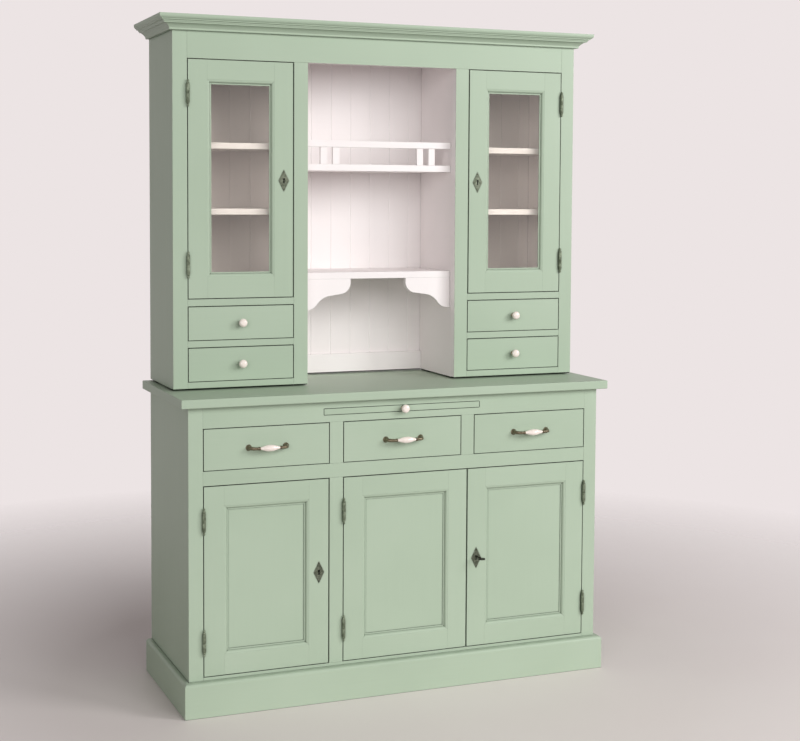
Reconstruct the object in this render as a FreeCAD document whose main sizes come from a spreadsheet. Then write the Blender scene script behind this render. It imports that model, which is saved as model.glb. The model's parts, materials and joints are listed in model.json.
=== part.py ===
import FreeCAD, Part
import math
import os
from types import SimpleNamespace

import Sketcher
from FreeCAD import Placement, Rotation, Vector

# Painted buffet cabinet in millimetres: a base with three drawers, three doors and a
# pull-out board, and a shallower hutch with two glazed cupboards beside an open niche.
# +X is the cabinet's right, +Y its back, +Z up. The origin is on the floor, in the
# middle of the outer box. Every piece is a solid of its own at its real size.

DRIVING_SIZES = {
    # carcass of the base
    "carcass_width": 1352.0,
    "carcass_depth": 476.0,
    "worktop_height": 940.0,
    "worktop_thickness": 26.4,
    "worktop_side_overhang": 26.0,
    "worktop_front_overhang": 26.0,
    "worktop_arris": 2.5,
    "board_thickness": 18.0,
    "frame_thickness": 22.0,
    "outer_stile_width": 44.0,
    "inner_stile_width": 43.0,
    "top_rail_height": 63.6,
    "drawer_opening_height": 126.0,
    "middle_rail_height": 43.0,
    "door_opening_bottom": 113.0,
    "bottom_rail_height": 53.0,
    "door_stop_height": 8.0,
    "base_shelf_rise": 284.0,
    "base_shelf_setback": 60.0,
    # grooved back boards
    "back_thickness": 14.0,
    "back_recess": 6.0,
    "back_board_pitch": 69.3,
    "back_first_board": 30.0,
    "back_groove_width": 3.0,
    "back_groove_depth": 2.0,
    # plinth
    "plinth_height": 104.0,
    "plinth_front_thickness": 24.0,
    "plinth_side_thickness": 18.0,
    "plinth_round": 10.0,
    # hutch
    "hutch_setback": 175.0,
    "hutch_foot_gap": 3.5,
    "hutch_pad_length": 60.0,
    "hutch_pad_inset": 8.0,
    "hutch_pad_width": 12.0,
    "hutch_outer_stile_width": 45.0,
    "hutch_opening_width": 336.0,
    "hutch_inner_stile_width": 45.0,
    "hutch_bottom_rail_height": 21.5,
    "small_drawer_opening_height": 105.0,
    "small_drawer_rail_height": 20.0,
    "glazed_door_rail_height": 21.0,
    "glazed_opening_height": 721.0,
    "frieze_height": 107.0,
    "hutch_top_drop": 54.0,
    "side_shelf_thickness": 18.4,
    "lower_side_shelf_rise": 265.0,
    "upper_side_shelf_rise": 200.0,
    "side_shelf_setback": 34.0,
    # open niche
    "niche_shelf_setback": 37.0,
    "niche_shelf_thickness": 20.6,
    "lower_niche_shelf_rise": 349.0,
    "upper_niche_shelf_rise": 339.5,
    "gallery_rail_height": 20.0,
    "gallery_rail_depth": 16.0,
    "gallery_gap_height": 53.5,
    "gallery_post_width": 22.0,
    "gallery_post_depth": 10.0,
    "gallery_outer_post_inset": 55.0,
    "gallery_inner_post_inset": 96.0,
    "bracket_length": 156.0,
    "bracket_drop": 98.5,
    "bracket_thickness": 16.0,
    "niche_back_rail_height": 62.5,
    "niche_back_rail_thickness": 12.0,
    # cornice
    "cornice_lift": 81.0,
    "cornice_height": 44.0,
    "cornice_projection": 48.0,
    # doors
    "door_gap": 2.0,
    "lock_side_gap": 3.2,
    "meeting_gap": 3.4,
    "door_thickness": 21.0,
    "door_stile_width": 62.0,
    "door_top_rail_height": 59.0,
    "door_bottom_rail_height": 61.0,
    "glazed_stile_width": 60.0,
    "glazed_bottom_rail_height": 65.0,
    "moulding_width": 14.0,
    "moulding_depth": 10.0,
    "panel_thickness": 8.0,
    "glass_thickness": 4.0,
    "glazing_bead_width": 8.0,
    "panel_play": 1.0,
    # hinges
    "barrel_radius": 5.5,
    "barrel_length": 66.0,
    "finial_length": 8.5,
    "pin_radius": 3.0,
    "pin_play": 0.05,
    "pin_proud": 6.0,
    "pin_length": 27.0,
    "hinge_axial_play": 0.3,
    "hinge_inset": 104.0,
    "leaf_thickness": 1.6,
    "leaf_back_margin": 3.0,
    # locks and key
    "escutcheon_width": 33.0,
    "escutcheon_height": 66.5,
    "escutcheon_drop": 4.5,
    "escutcheon_thickness": 1.5,
    "keyhole_radius": 3.2,
    "keyhole_slot_width": 5.0,
    "keyhole_slot_depth": 12.2,
    "keyhole_bore": 8.5,
    "keyhole_lift": 3.0,
    "lock_edge_margin": 1.0,
    "lock_inner_side": 20.0,
    "lock_half_height": 25.0,
    "lock_depth": 12.0,
    "lock_wall": 1.5,
    "bolt_lead": 3.0,
    "bolt_height": 10.0,
    "bolt_thickness": 5.0,
    "bolt_play": 0.3,
    "bolt_above_axis": 4.0,
    "talon_start": 6.0,
    "talon_width": 7.0,
    "talon_height": 6.5,
    "talon_tail": 4.0,
    "key_stem_radius": 2.5,
    "key_stem_length": 30.0,
    "key_bit_length": 9.0,
    "key_bit_thickness": 3.0,
    "key_collar_radius": 4.2,
    "key_collar_thickness": 2.5,
    "key_bow_radius": 11.0,
    "key_bow_hole_radius": 7.4,
    "key_bow_thickness": 3.2,
    # drawers and their decks
    "drawer_front_thickness": 21.0,
    "drawer_gap": 2.0,
    "drawer_side_thickness": 12.0,
    "drawer_bottom_thickness": 6.0,
    "drawer_bottom_lift": 8.0,
    "drawer_side_play": 0.8,
    "drawer_running_gap": 0.4,
    "guide_height": 30.0,
    "drawer_side_height": 100.0,
    "drawer_depth": 400.0,
    "small_drawer_side_height": 82.0,
    "small_drawer_depth": 240.0,
    # pull-out board
    "slot_width": 518.0,
    "slot_height": 21.4,
    "slot_lift": 20.5,
    "slot_gap": 1.2,
    "slot_corner": 3.0,
    "pull_out_front_thickness": 20.0,
    "pull_out_board_thickness": 17.0,
    "pull_out_depth": 400.0,
    "bearer_width": 24.0,
    "bearer_thickness": 12.0,
    # handles and knobs
    "handle_spacing": 115.0,
    "handle_foot_radius": 9.5,
    "handle_foot_thickness": 6.0,
    "handle_rod_radius": 3.9,
    "handle_rise": 9.0,
    "handle_bend": 19.0,
    "handle_collar_radius": 5.6,
    "handle_collar_length": 7.5,
    "grip_end_radius": 4.8,
    "grip_radius": 9.3,
    "knob_radius": 14.0,
    "knob_projection": 27.0,
    # how far a cut runs past what it cuts
    "overrun": 5.0,
}

# Outlines as shares of the sizes they follow: across, along, and the bulge of the arc
# that leads on from that corner (a quarter of its turn, as a tangent).
CORNICE_SHARES = (
    (0.00, 0.00, 0.0), (0.19, 0.00, 0.41), (0.24, 0.06, 0.0), (0.24, 0.12, -0.16),
    (0.56, 0.42, 0.0), (0.65, 0.42, 0.0), (0.65, 0.47, 0.28), (0.72, 0.58, 0.0),
    (0.84, 0.61, 0.0), (0.84, 0.66, 0.30), (1.00, 0.88, 0.0), (1.00, 1.00, 0.0),
    (0.00, 1.00, 0.0),
)
MOULDING_SHARES = (
    (0.00, 1.00, 0.0), (1.00, 1.00, 0.0), (1.00, 0.82, 0.0), (0.68, 0.79, 0.0),
    (0.64, 0.62, 0.34), (0.07, 0.08, 0.0),
)
BRACKET_SHARES = (
    (0.00, 0.00, 0.0), (0.00, 1.00, 0.0), (0.10, 0.985, 0.20), (0.28, 0.80, -0.19),
    (0.52, 0.55, 0.0), (0.78, 0.49, 0.36), (1.00, 0.16, 0.0), (1.00, 0.00, 0.0),
)
KNOB_SHARES = (
    (0.00, 0.00, 0.0), (0.61, 0.00, 0.0), (0.61, 0.06, 0.0), (0.40, 0.14, 0.0),
    (0.40, 0.32, 0.22), (1.00, 0.64, -0.30), (0.64, 0.94, -0.20), (0.08, 1.00, 0.0),
    (0.00, 1.00, 0.0),
)
FINIAL_SHARES = (0.50, 0.78, 0.16, 0.50, 0.10)
FINIAL_BULGE_SHARE = 0.2
# the foot of a handle, as shares of its radius and thickness, with the same bulges
FOOT_SHARES = (
    (0.00, 0.00, 0.0), (1.00, 0.00, 0.0), (1.00, 0.30, -0.30), (0.50, 1.00, 0.0), (0.00, 1.00, 0.0),
)
COLLAR_SHARE = 0.35
COLLAR_END_SHARE = 0.8
KEYHOLE_WAIST_SHARE = 0.6
QUARTER_TURN_SHARE = math.tan(math.pi / 8)
SIDES = ("left", "right")


class Size:
    """A named length, or a sum worked out from such lengths, with its sheet formula."""

    def __init__(self, value, formula):
        self.value = value
        self.formula = formula

    def __add__(self, other):
        return worked_out(self, "+", other)

    def __radd__(self, other):
        return worked_out(other, "+", self)

    def __sub__(self, other):
        return worked_out(self, "-", other)

    def __rsub__(self, other):
        return worked_out(other, "-", self)

    def __mul__(self, other):
        return worked_out(self, "*", other)

    def __rmul__(self, other):
        return worked_out(other, "*", self)

    def __truediv__(self, other):
        return worked_out(self, "/", other)

    def __neg__(self):
        return Size(-self.value, "(-" + self.formula + ")")


def as_size(number):
    """A plain number as a size, so that sums can mix the two"""
    if isinstance(number, Size):
        return number
    return Size(float(number), repr(float(number)))


def worked_out(first, sign, second):
    """The sum, difference, product or quotient of two sizes"""
    first = as_size(first)
    second = as_size(second)
    if sign == "+":
        value = first.value + second.value
    elif sign == "-":
        value = first.value - second.value
    elif sign == "*":
        value = first.value * second.value
    else:
        value = first.value / second.value
    return Size(value, "(" + first.formula + " " + sign + " " + second.formula + ")")


def length_of(across, along):
    """The length of the hypotenuse over two sizes"""
    across = as_size(across)
    along = as_size(along)
    formula = "sqrt(" + across.formula + "^2 + " + along.formula + "^2)"
    return Size(math.hypot(across.value, along.value), formula)


def driving_sizes(doc):
    """Writes the sheet of driving dimensions and returns them by name"""
    sheet = doc.addObject("Spreadsheet::Sheet", "sizes")
    found = SimpleNamespace()
    for row, (name, value) in enumerate(DRIVING_SIZES.items(), start=1):
        sheet.set("A%d" % row, name)
        sheet.set("B%d" % row, str(value))
        sheet.setAlias("B%d" % row, name)
        setattr(found, name, Size(value, "sizes." + name))
    return found


doc = FreeCAD.newDocument("buffet_cabinet")
s = driving_sizes(doc)
nodes = []


# Places that several pieces share

half_width = s.carcass_width / 2
key_reach = s.key_stem_length + s.key_bow_radius * 2
base_face = (key_reach - s.carcass_depth) / 2
base_back = base_face + s.carcass_depth
base_frame_back = base_face + s.frame_thickness
hutch_face = base_face + s.hutch_setback
hutch_frame_back = hutch_face + s.frame_thickness
back_boards_back = base_back - s.back_recess
back_boards_face = back_boards_back - s.back_thickness
inner_half_width = half_width - s.board_thickness

worktop_underside = s.worktop_height - s.worktop_thickness
top_rail_bottom = worktop_underside - s.top_rail_height
drawer_opening_bottom = top_rail_bottom - s.drawer_opening_height
door_opening_top = drawer_opening_bottom - s.middle_rail_height
base_floor_top = s.door_opening_bottom + s.door_stop_height
slot_bottom = top_rail_bottom + s.slot_lift

outer_edge = half_width - s.outer_stile_width
opening_width = (outer_edge * 2 - s.inner_stile_width * 2) / 3
inner_stile_outside = outer_edge - opening_width
inner_stile_inside = inner_stile_outside - s.inner_stile_width
stile_centre = (inner_stile_outside + inner_stile_inside) / 2
partition_left = -stile_centre - s.board_thickness / 2
partition_right = -stile_centre + s.board_thickness / 2

hutch_outer_edge = half_width - s.hutch_outer_stile_width
hutch_inner_edge = hutch_outer_edge - s.hutch_opening_width
niche_half = hutch_inner_edge - s.hutch_inner_stile_width
hutch_partition_outside = niche_half + s.board_thickness
hutch_bottom = s.worktop_height + s.hutch_foot_gap
lower_drawer_bottom = hutch_bottom + s.hutch_bottom_rail_height
lower_drawer_top = lower_drawer_bottom + s.small_drawer_opening_height
upper_drawer_bottom = lower_drawer_top + s.small_drawer_rail_height
upper_drawer_top = upper_drawer_bottom + s.small_drawer_opening_height
glazed_bottom = upper_drawer_top + s.glazed_door_rail_height
glazed_top = glazed_bottom + s.glazed_opening_height
hutch_top = glazed_top + s.frieze_height
hutch_ceiling = hutch_top - s.hutch_top_drop
glazed_floor_top = glazed_bottom + s.door_stop_height
lower_side_shelf_top = glazed_floor_top + s.lower_side_shelf_rise
lower_niche_shelf_top = s.worktop_height + s.lower_niche_shelf_rise
upper_niche_shelf_top = lower_niche_shelf_top + s.upper_niche_shelf_rise
base_shelf_top = base_floor_top + s.base_shelf_rise

guide_proud = s.drawer_gap - s.drawer_side_play
escutcheon_lift = s.keyhole_lift - s.escutcheon_drop
handle_standoff = s.handle_rise + s.handle_bend
half_grip = s.handle_spacing / 2 - s.handle_bend - s.handle_collar_length
frame_hinge_halves = []

base_door = SimpleNamespace(
    face=base_face, bottom=s.door_opening_bottom + s.door_gap,
    top=door_opening_top - s.door_gap, stile=s.door_stile_width,
    top_rail=s.door_top_rail_height, bottom_rail=s.door_bottom_rail_height,
    infill=s.panel_thickness)
glazed_door = SimpleNamespace(
    face=hutch_face, bottom=glazed_bottom + s.door_gap, top=glazed_top - s.door_gap,
    stile=s.glazed_stile_width, top_rail=s.door_top_rail_height,
    bottom_rail=s.glazed_bottom_rail_height, infill=s.glass_thickness)


# Ways of making a piece

def bind(thing, name, size):
    """Ties a property of a document object to the sheet"""
    thing.setExpression(name, as_size(size).formula)


def place(thing, across, back, up, turn=None):
    """Puts a piece where the sheet says, turned first if asked"""
    if turn is not None:
        thing.Placement = Placement(Vector(0, 0, 0), turn)
    bind(thing, "Placement.Base.x", across)
    bind(thing, "Placement.Base.y", back)
    bind(thing, "Placement.Base.z", up)


def board(name, low, high):
    """A square-edged board between its lowest and its highest corner"""
    box = doc.addObject("Part::Box", name)
    bind(box, "Length", high[0] - low[0])
    bind(box, "Width", high[1] - low[1])
    bind(box, "Height", high[2] - low[2])
    place(box, *low)
    return box


def sorted_pair(first, second):
    """Two sizes with the smaller one first"""
    return (first, second) if first.value < second.value else (second, first)


def both_sides(near, far):
    """The left and the right stretch between two distances from the middle"""
    return (("left", (-far, -near)), ("right", (near, far)))


def node(label, *pieces):
    """One named sub-part: a single piece, or a group of separate solids"""
    if len(pieces) == 1:
        sub_part = pieces[0]
    else:
        sub_part = doc.addObject("Part::Compound", label)
        sub_part.Links = list(pieces)
    sub_part.Label = label
    nodes.append(sub_part)


def new_body(name):
    """An empty body"""
    return doc.addObject("PartDesign::Body", name)


def new_sketch(body, role, offset=None):
    """A sketch on one of the body's own origin planes, moved off it if asked"""
    plane = next(part for part in body.Origin.OriginFeatures if part.Role == role)
    sketch = body.newObject("Sketcher::SketchObject", "Sketch")
    sketch.AttachmentSupport = (plane, [""])
    sketch.MapMode = "FlatFace"
    if offset is not None:
        bind(sketch, "AttachmentOffset.Base.z", offset)
    return sketch


def hold(sketch, kind, edge, point, size):
    """Holds one coordinate of a point at its distance from the sketch's origin"""
    size = as_size(size)
    if size.value == 0:
        axis = -2 if kind == "DistanceX" else -1
        sketch.addConstraint(Sketcher.Constraint("PointOnObject", edge, point, axis))
        return
    fixed = Sketcher.Constraint(kind, -1, 1, edge, point, size.value)
    row = sketch.addConstraint(fixed)
    bind(sketch, "Constraints[%d]" % row, size)


def arc_middle(start, end, bulge):
    """The point half way along the arc between two points"""
    middle = (start + end) * 0.5
    chord = end - start
    return middle + Vector(chord.y, -chord.x, 0) * (bulge / 2)


def outline(sketch, corners, closed=True):
    """Draws a line or arc from each corner to the next, held by the sheet's sizes"""
    points = [Vector(as_size(c[0]).value, as_size(c[1]).value, 0) for c in corners]
    count = len(corners) if closed else len(corners) - 1
    ends = []
    for i in range(count):
        start = points[i]
        end = points[(i + 1) % len(points)]
        bulge = corners[i][2] if len(corners[i]) > 2 else 0
        if bulge:
            curve = Part.Arc(start, arc_middle(start, end, bulge), end)
        else:
            curve = Part.LineSegment(start, end)
        edge = sketch.addGeometry(curve, False)
        first = 1 if sketch.getPoint(edge, 1).distanceToPoint(start) < 1e-6 else 2
        ends.append((edge, first, 3 - first))
        if bulge:
            nxt = corners[(i + 1) % len(corners)]
            chord = length_of(nxt[0] - as_size(corners[i][0]), nxt[1] - as_size(corners[i][1]))
            radius = chord * ((1 + bulge * bulge) / (4 * abs(bulge)))
            row = sketch.addConstraint(Sketcher.Constraint("Radius", edge, radius.value))
            bind(sketch, "Constraints[%d]" % row, radius)
    for i, (edge, first, last) in enumerate(ends):
        hold(sketch, "DistanceX", edge, first, corners[i][0])
        hold(sketch, "DistanceY", edge, first, corners[i][1])
        if closed or i + 1 < count:
            following = ends[(i + 1) % count]
            joined = Sketcher.Constraint("Coincident", edge, last, following[0], following[1])
            sketch.addConstraint(joined)
    if not closed:
        edge, first, last = ends[-1]
        hold(sketch, "DistanceX", edge, last, corners[-1][0])
        hold(sketch, "DistanceY", edge, last, corners[-1][1])


def ring(sketch, across, along, radius):
    """Draws a circle held by the sheet's sizes"""
    across = as_size(across)
    along = as_size(along)
    centre = Vector(across.value, along.value, 0)
    edge = sketch.addGeometry(Part.Circle(centre, Vector(0, 0, 1), radius.value), False)
    hold(sketch, "DistanceX", edge, 3, across)
    hold(sketch, "DistanceY", edge, 3, along)
    row = sketch.addConstraint(Sketcher.Constraint("Radius", edge, radius.value))
    bind(sketch, "Constraints[%d]" % row, radius)


def rectangle(low_across, low_along, high_across, high_along):
    """The corners of a rectangle"""
    return [
        (low_across, low_along), (high_across, low_along),
        (high_across, high_along), (low_across, high_along),
    ]


def pad(body, sketch, length, back_length=None, backwards=False, both_ways=False):
    """Extrudes a sketch along its normal, or against it, or both ways"""
    feature = body.newObject("PartDesign::Pad", "Pad")
    feature.Profile = sketch
    bind(feature, "Length", length)
    feature.Reversed = backwards
    if both_ways:
        feature.SideType = "Symmetric"
    if back_length is not None:
        feature.SideType = "Two sides"
        bind(feature, "Length2", back_length)
    return feature


def pocket(body, sketch, depth=None):
    """Cuts a sketch through the whole body, or to a depth against its normal"""
    feature = body.newObject("PartDesign::Pocket", "Pocket")
    feature.Profile = sketch
    if depth is None:
        feature.Type = "ThroughAll"
        feature.SideType = "Symmetric"
    else:
        bind(feature, "Length", depth)
    return feature


def revolve(body, sketch, axis):
    """Turns a sketch once round one of its own axes"""
    feature = body.newObject("PartDesign::Revolution", "Revolution")
    feature.Profile = sketch
    feature.ReferenceAxis = (sketch, [axis])
    return feature


# Moulded lengths: the cornice and the plinth

def moulded_run(name, profile, run, spreads, reach):
    """A moulding along +X that stands out towards -Y, mitred where a spread is given"""
    body = new_body(name)
    start_spread, end_spread = spreads
    section = new_sketch(body, "YZ_Plane")
    outline(section, profile)
    pad(body, section, run + end_spread, start_spread if start_spread.value else None)
    for spread, edge, way in ((start_spread, as_size(0), -1), (end_spread, run, 1)):
        if spread.value == 0:
            continue
        skew = spread / reach * s.overrun
        mitre = new_sketch(body, "XY_Plane")
        outline(mitre, [
            (edge - skew * way, s.overrun),
            (edge + (spread + skew) * way, -reach - s.overrun),
            (edge + (spread + skew) * way, s.overrun),
        ])
        pocket(body, mitre)
    return body


def three_runs(label, profile, face, spreads, reaches, up):
    """The front length and the two returns of a moulding round the cabinet"""
    front_spread, side_spread = spreads
    front_reach, side_reach = reaches
    none = as_size(0)
    side_run = base_back - face
    front = moulded_run(
        label + "_front", profile(front_reach), s.carcass_width,
        (front_spread, front_spread), front_reach)
    place(front, -half_width, face, up)
    left = moulded_run(
        label + "_left", profile(side_reach), side_run, (none, side_spread), side_reach)
    place(left, -half_width, base_back, up, Rotation(Vector(0, 0, 1), -90))
    right = moulded_run(
        label + "_right", profile(side_reach), side_run, (side_spread, none), side_reach)
    place(right, half_width, face, up, Rotation(Vector(0, 0, 1), 90))
    node(label, front, left, right)


def cornice_profile(reach):
    """Bead, cove, fillet and rounded nose, from the bottom to the top"""
    return [(-reach * out, s.cornice_height * up, -bulge) for out, up, bulge in CORNICE_SHARES]


def plinth_profile(reach):
    """A board with a rounded top edge"""
    return [
        (0, 0), (-reach, 0, 0), (-reach, s.plinth_height - s.plinth_round, -QUARTER_TURN_SHARE),
        (s.plinth_round - reach, s.plinth_height), (0, s.plinth_height),
    ]


def make_cornice():
    reach = s.cornice_projection
    three_runs("cornice", cornice_profile, hutch_face, (reach, reach), (reach, reach),
               glazed_top + s.cornice_lift)


def make_plinth():
    three_runs("plinth_boards", plinth_profile, base_face,
               (s.plinth_side_thickness, s.plinth_front_thickness),
               (s.plinth_front_thickness, s.plinth_side_thickness), as_size(0))


# Base carcass

def make_worktop():
    """The worktop, with its front and side edges eased"""
    body = new_body("worktop_slab")
    plan = new_sketch(body, "XY_Plane")
    half = half_width + s.worktop_side_overhang
    front = base_face - s.worktop_front_overhang
    outline(plan, rectangle(-half, front, half, base_back))
    slab = pad(body, plan, s.worktop_thickness)
    doc.recompute()
    chosen = []
    for number, edge in enumerate(slab.Shape.Edges, start=1):
        box = edge.BoundBox
        level = box.ZMax - box.ZMin < 0.01
        if level and box.YMin < front.value + 0.01:
            chosen.append("Edge%d" % number)
    eased = body.newObject("PartDesign::Fillet", "Fillet")
    eased.Base = (slab, chosen)
    bind(eased, "Radius", s.worktop_arris)
    place(body, 0, 0, worktop_underside)
    node("worktop", body)


def make_base_boards():
    """Sides, partition, floor, shelves and the deck under the drawers"""
    floor = base_floor_top - s.board_thickness
    deck = drawer_opening_bottom - s.board_thickness
    sides = [
        board("base_side_" + side, (low, base_frame_back, as_size(0)),
              (high, base_back, worktop_underside))
        for side, (low, high) in both_sides(inner_half_width, half_width)
    ]
    partition = board("base_partition", (partition_left, base_frame_back, base_floor_top),
                      (partition_right, back_boards_face, deck))
    node("base_uprights", *sides, partition)
    node("base_bottom_board", board(
        "base_floor", (-inner_half_width, base_frame_back, floor),
        (inner_half_width, back_boards_face, base_floor_top)))
    bays = (("left", -inner_half_width, partition_left),
            ("right", partition_right, inner_half_width))
    node("base_shelves", *[
        board("base_shelf_" + side,
              (low, base_frame_back + s.base_shelf_setback, base_shelf_top - s.board_thickness),
              (high, back_boards_face, base_shelf_top))
        for side, low, high in bays])
    drawer_deck = board("base_drawer_deck", (-inner_half_width, base_frame_back, deck),
                        (inner_half_width, back_boards_face, drawer_opening_bottom))
    node("drawer_runners", drawer_deck, *base_guides(), *pull_out_bearers())


def base_guides():
    """Strips beside and between the base drawers that keep them straight"""
    edges = (
        (-inner_half_width, guide_proud - outer_edge),
        (-inner_stile_outside - guide_proud, guide_proud - inner_stile_inside),
        (inner_stile_inside - guide_proud, inner_stile_outside + guide_proud),
        (outer_edge - guide_proud, inner_half_width),
    )
    return deck_guides("base_guide", edges, drawer_opening_bottom, base_frame_back)


def deck_guides(name, edges, low, front):
    """A strip on a drawer deck for each pair of edges"""
    return [
        board("%s_%d" % (name, number), (left, front, low),
              (right, back_boards_face, low + s.guide_height))
        for number, (left, right) in enumerate(edges, start=1)
    ]


def pull_out_bearers():
    """Two bearers and two fences that carry the pull-out board behind its slot"""
    half = s.slot_width / 2
    top = slot_bottom + s.slot_gap - s.drawer_running_gap
    bottom = top - s.bearer_thickness
    pieces = []
    for side, (low, high) in both_sides(half - s.bearer_width, half):
        pieces.append(board("bearer_" + side, (low, base_frame_back, bottom),
                            (high, back_boards_face, top)))
    for side, (low, high) in both_sides(half, half + s.bearer_thickness):
        pieces.append(board("fence_" + side, (low, base_frame_back, bottom),
                            (high, back_boards_face, slot_bottom + s.slot_height)))
    return pieces


def grooved_back(name, bottom, top):
    """Matchboarding across the back, with a vee groove at every board joint"""
    body = new_body(name)
    plan = new_sketch(body, "XY_Plane")
    width = inner_half_width * 2
    outline(plan, rectangle(0, 0, width, s.back_thickness))
    pad(body, plan, top - bottom)
    groove = new_sketch(body, "XY_Plane")
    half = s.back_groove_width / 2
    outline(groove, [
        (s.back_first_board - half, 0), (s.back_first_board + half, 0),
        (s.back_first_board, s.back_groove_depth),
    ])
    cut = pocket(body, groove)
    joints = int((width - s.back_first_board - half).value // s.back_board_pitch.value) + 1
    pattern = body.newObject("PartDesign::LinearPattern", "LinearPattern")
    pattern.Originals = [cut]
    pattern.Direction = (plan, ["H_Axis"])
    pattern.Mode = "Spacing"
    bind(pattern, "Offset", s.back_board_pitch)
    pattern.Occurrences = joints
    body.Tip = pattern
    place(body, -inner_half_width, back_boards_face, bottom)
    return body


def make_backs():
    """The matchboarded backs of the base and the hutch"""
    node("base_back_boards", grooved_back(
        "base_matchboarding", base_floor_top - s.board_thickness, worktop_underside))
    node("hutch_back_boards", grooved_back(
        "hutch_matchboarding", hutch_bottom, hutch_ceiling))


def frame_member(name, left, right, bottom, top, face):
    """A square-edged stile or rail of a face frame"""
    return board(name, (left, face, bottom), (right, face + s.frame_thickness, top))


def make_base_frame():
    """Stiles and rails of the base's face frame"""
    floor = as_size(0)
    stiles = [
        frame_member("base_stile_" + side, low, high, floor, worktop_underside, base_face)
        for side, (low, high) in both_sides(outer_edge, half_width)
    ]
    stiles += [
        frame_member("drawer_stile_" + side, low, high,
                     drawer_opening_bottom, top_rail_bottom, base_face)
        for side, (low, high) in both_sides(inner_stile_inside, inner_stile_outside)
    ]
    stiles.append(frame_member("door_stile", -inner_stile_outside, -inner_stile_inside,
                               s.door_opening_bottom, door_opening_top, base_face))
    node("base_stiles", *stiles)
    levels = (
        ("middle", door_opening_top, drawer_opening_bottom),
        ("bottom", s.door_opening_bottom - s.bottom_rail_height, s.door_opening_bottom),
    )
    node("base_rails", *[
        frame_member("base_%s_rail" % name, -outer_edge, outer_edge, low, high, base_face)
        for name, low, high in levels])
    node("base_top_rail", slotted_rail())


def slotted_rail():
    """The top rail with the slot that the pull-out board runs in"""
    body = new_body("slotted_rail")
    face = new_sketch(body, "XZ_Plane")
    outline(face, rectangle(-outer_edge, 0, outer_edge, s.top_rail_height))
    pad(body, face, s.frame_thickness, backwards=True)
    half = s.slot_width / 2
    low = s.slot_lift
    high = s.slot_lift + s.slot_height
    slot = new_sketch(body, "XZ_Plane")
    outline(slot, [
        (s.slot_corner - half, low), (half - s.slot_corner, low, QUARTER_TURN_SHARE),
        (half, low + s.slot_corner), (half, high - s.slot_corner, QUARTER_TURN_SHARE),
        (half - s.slot_corner, high), (s.slot_corner - half, high, QUARTER_TURN_SHARE),
        (-half, high - s.slot_corner), (-half, low + s.slot_corner, QUARTER_TURN_SHARE),
    ])
    pocket(body, slot)
    place(body, 0, base_face, top_rail_bottom)
    return body


# Hutch carcass

def make_hutch_uprights():
    """Sides, partitions, foot pads and top board of the hutch"""
    sides = [
        board("hutch_side_" + side, (low, hutch_frame_back, hutch_bottom),
              (high, base_back, hutch_top))
        for side, (low, high) in both_sides(inner_half_width, half_width)
    ]
    partitions = [
        board("hutch_partition_" + side, (low, hutch_frame_back, hutch_bottom),
              (high, back_boards_face, hutch_ceiling))
        for side, (low, high) in both_sides(niche_half, hutch_partition_outside)
    ]
    node("hutch_uprights", *sides, *partitions, *hutch_pads())
    node("hutch_top_board", board(
        "hutch_ceiling_board", (-inner_half_width, hutch_frame_back, hutch_ceiling),
        (inner_half_width, base_back, hutch_ceiling + s.board_thickness)))


def hutch_pads():
    """Thin pads under the sides and partitions that lift the hutch off the worktop"""
    inset = (s.board_thickness - s.hutch_pad_width) / 2
    rows = (
        ("side", half_width - inset - s.hutch_pad_width, half_width - inset),
        ("partition", niche_half + inset, niche_half + inset + s.hutch_pad_width),
    )
    front = hutch_frame_back + s.hutch_pad_inset
    back = back_boards_face - s.hutch_pad_inset
    ends = (("front", front, front + s.hutch_pad_length), ("back", back - s.hutch_pad_length, back))
    return [
        board("hutch_%s_%s_pad_%s" % (row, end, side),
              (low, near, s.worktop_height), (high, far, hutch_bottom))
        for row, inner, outer in rows for side, (low, high) in both_sides(inner, outer)
        for end, near, far in ends
    ]


def make_hutch_frame():
    """Stiles, short rails and the frieze of the hutch's face frame"""
    members = (
        ("outer", hutch_outer_edge, half_width, hutch_top),
        ("inner", niche_half, hutch_inner_edge, glazed_top),
    )
    node("hutch_stiles", *[
        frame_member("hutch_%s_stile_%s" % (name, side), low, high,
                     hutch_bottom, top, hutch_face)
        for name, near, far, top in members for side, (low, high) in both_sides(near, far)])
    levels = (
        ("lower", hutch_bottom, lower_drawer_bottom),
        ("drawer", lower_drawer_top, upper_drawer_bottom),
        ("door", upper_drawer_top, glazed_bottom),
    )
    rails = [
        frame_member("hutch_%s_rail_%s" % (name, side), low, high, bottom, top, hutch_face)
        for name, bottom, top in levels
        for side, (low, high) in both_sides(hutch_inner_edge, hutch_outer_edge)
    ]
    frieze = frame_member("frieze_rail", -hutch_outer_edge, hutch_outer_edge,
                          glazed_top, hutch_top, hutch_face)
    node("hutch_rails", frieze, *rails)


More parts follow.
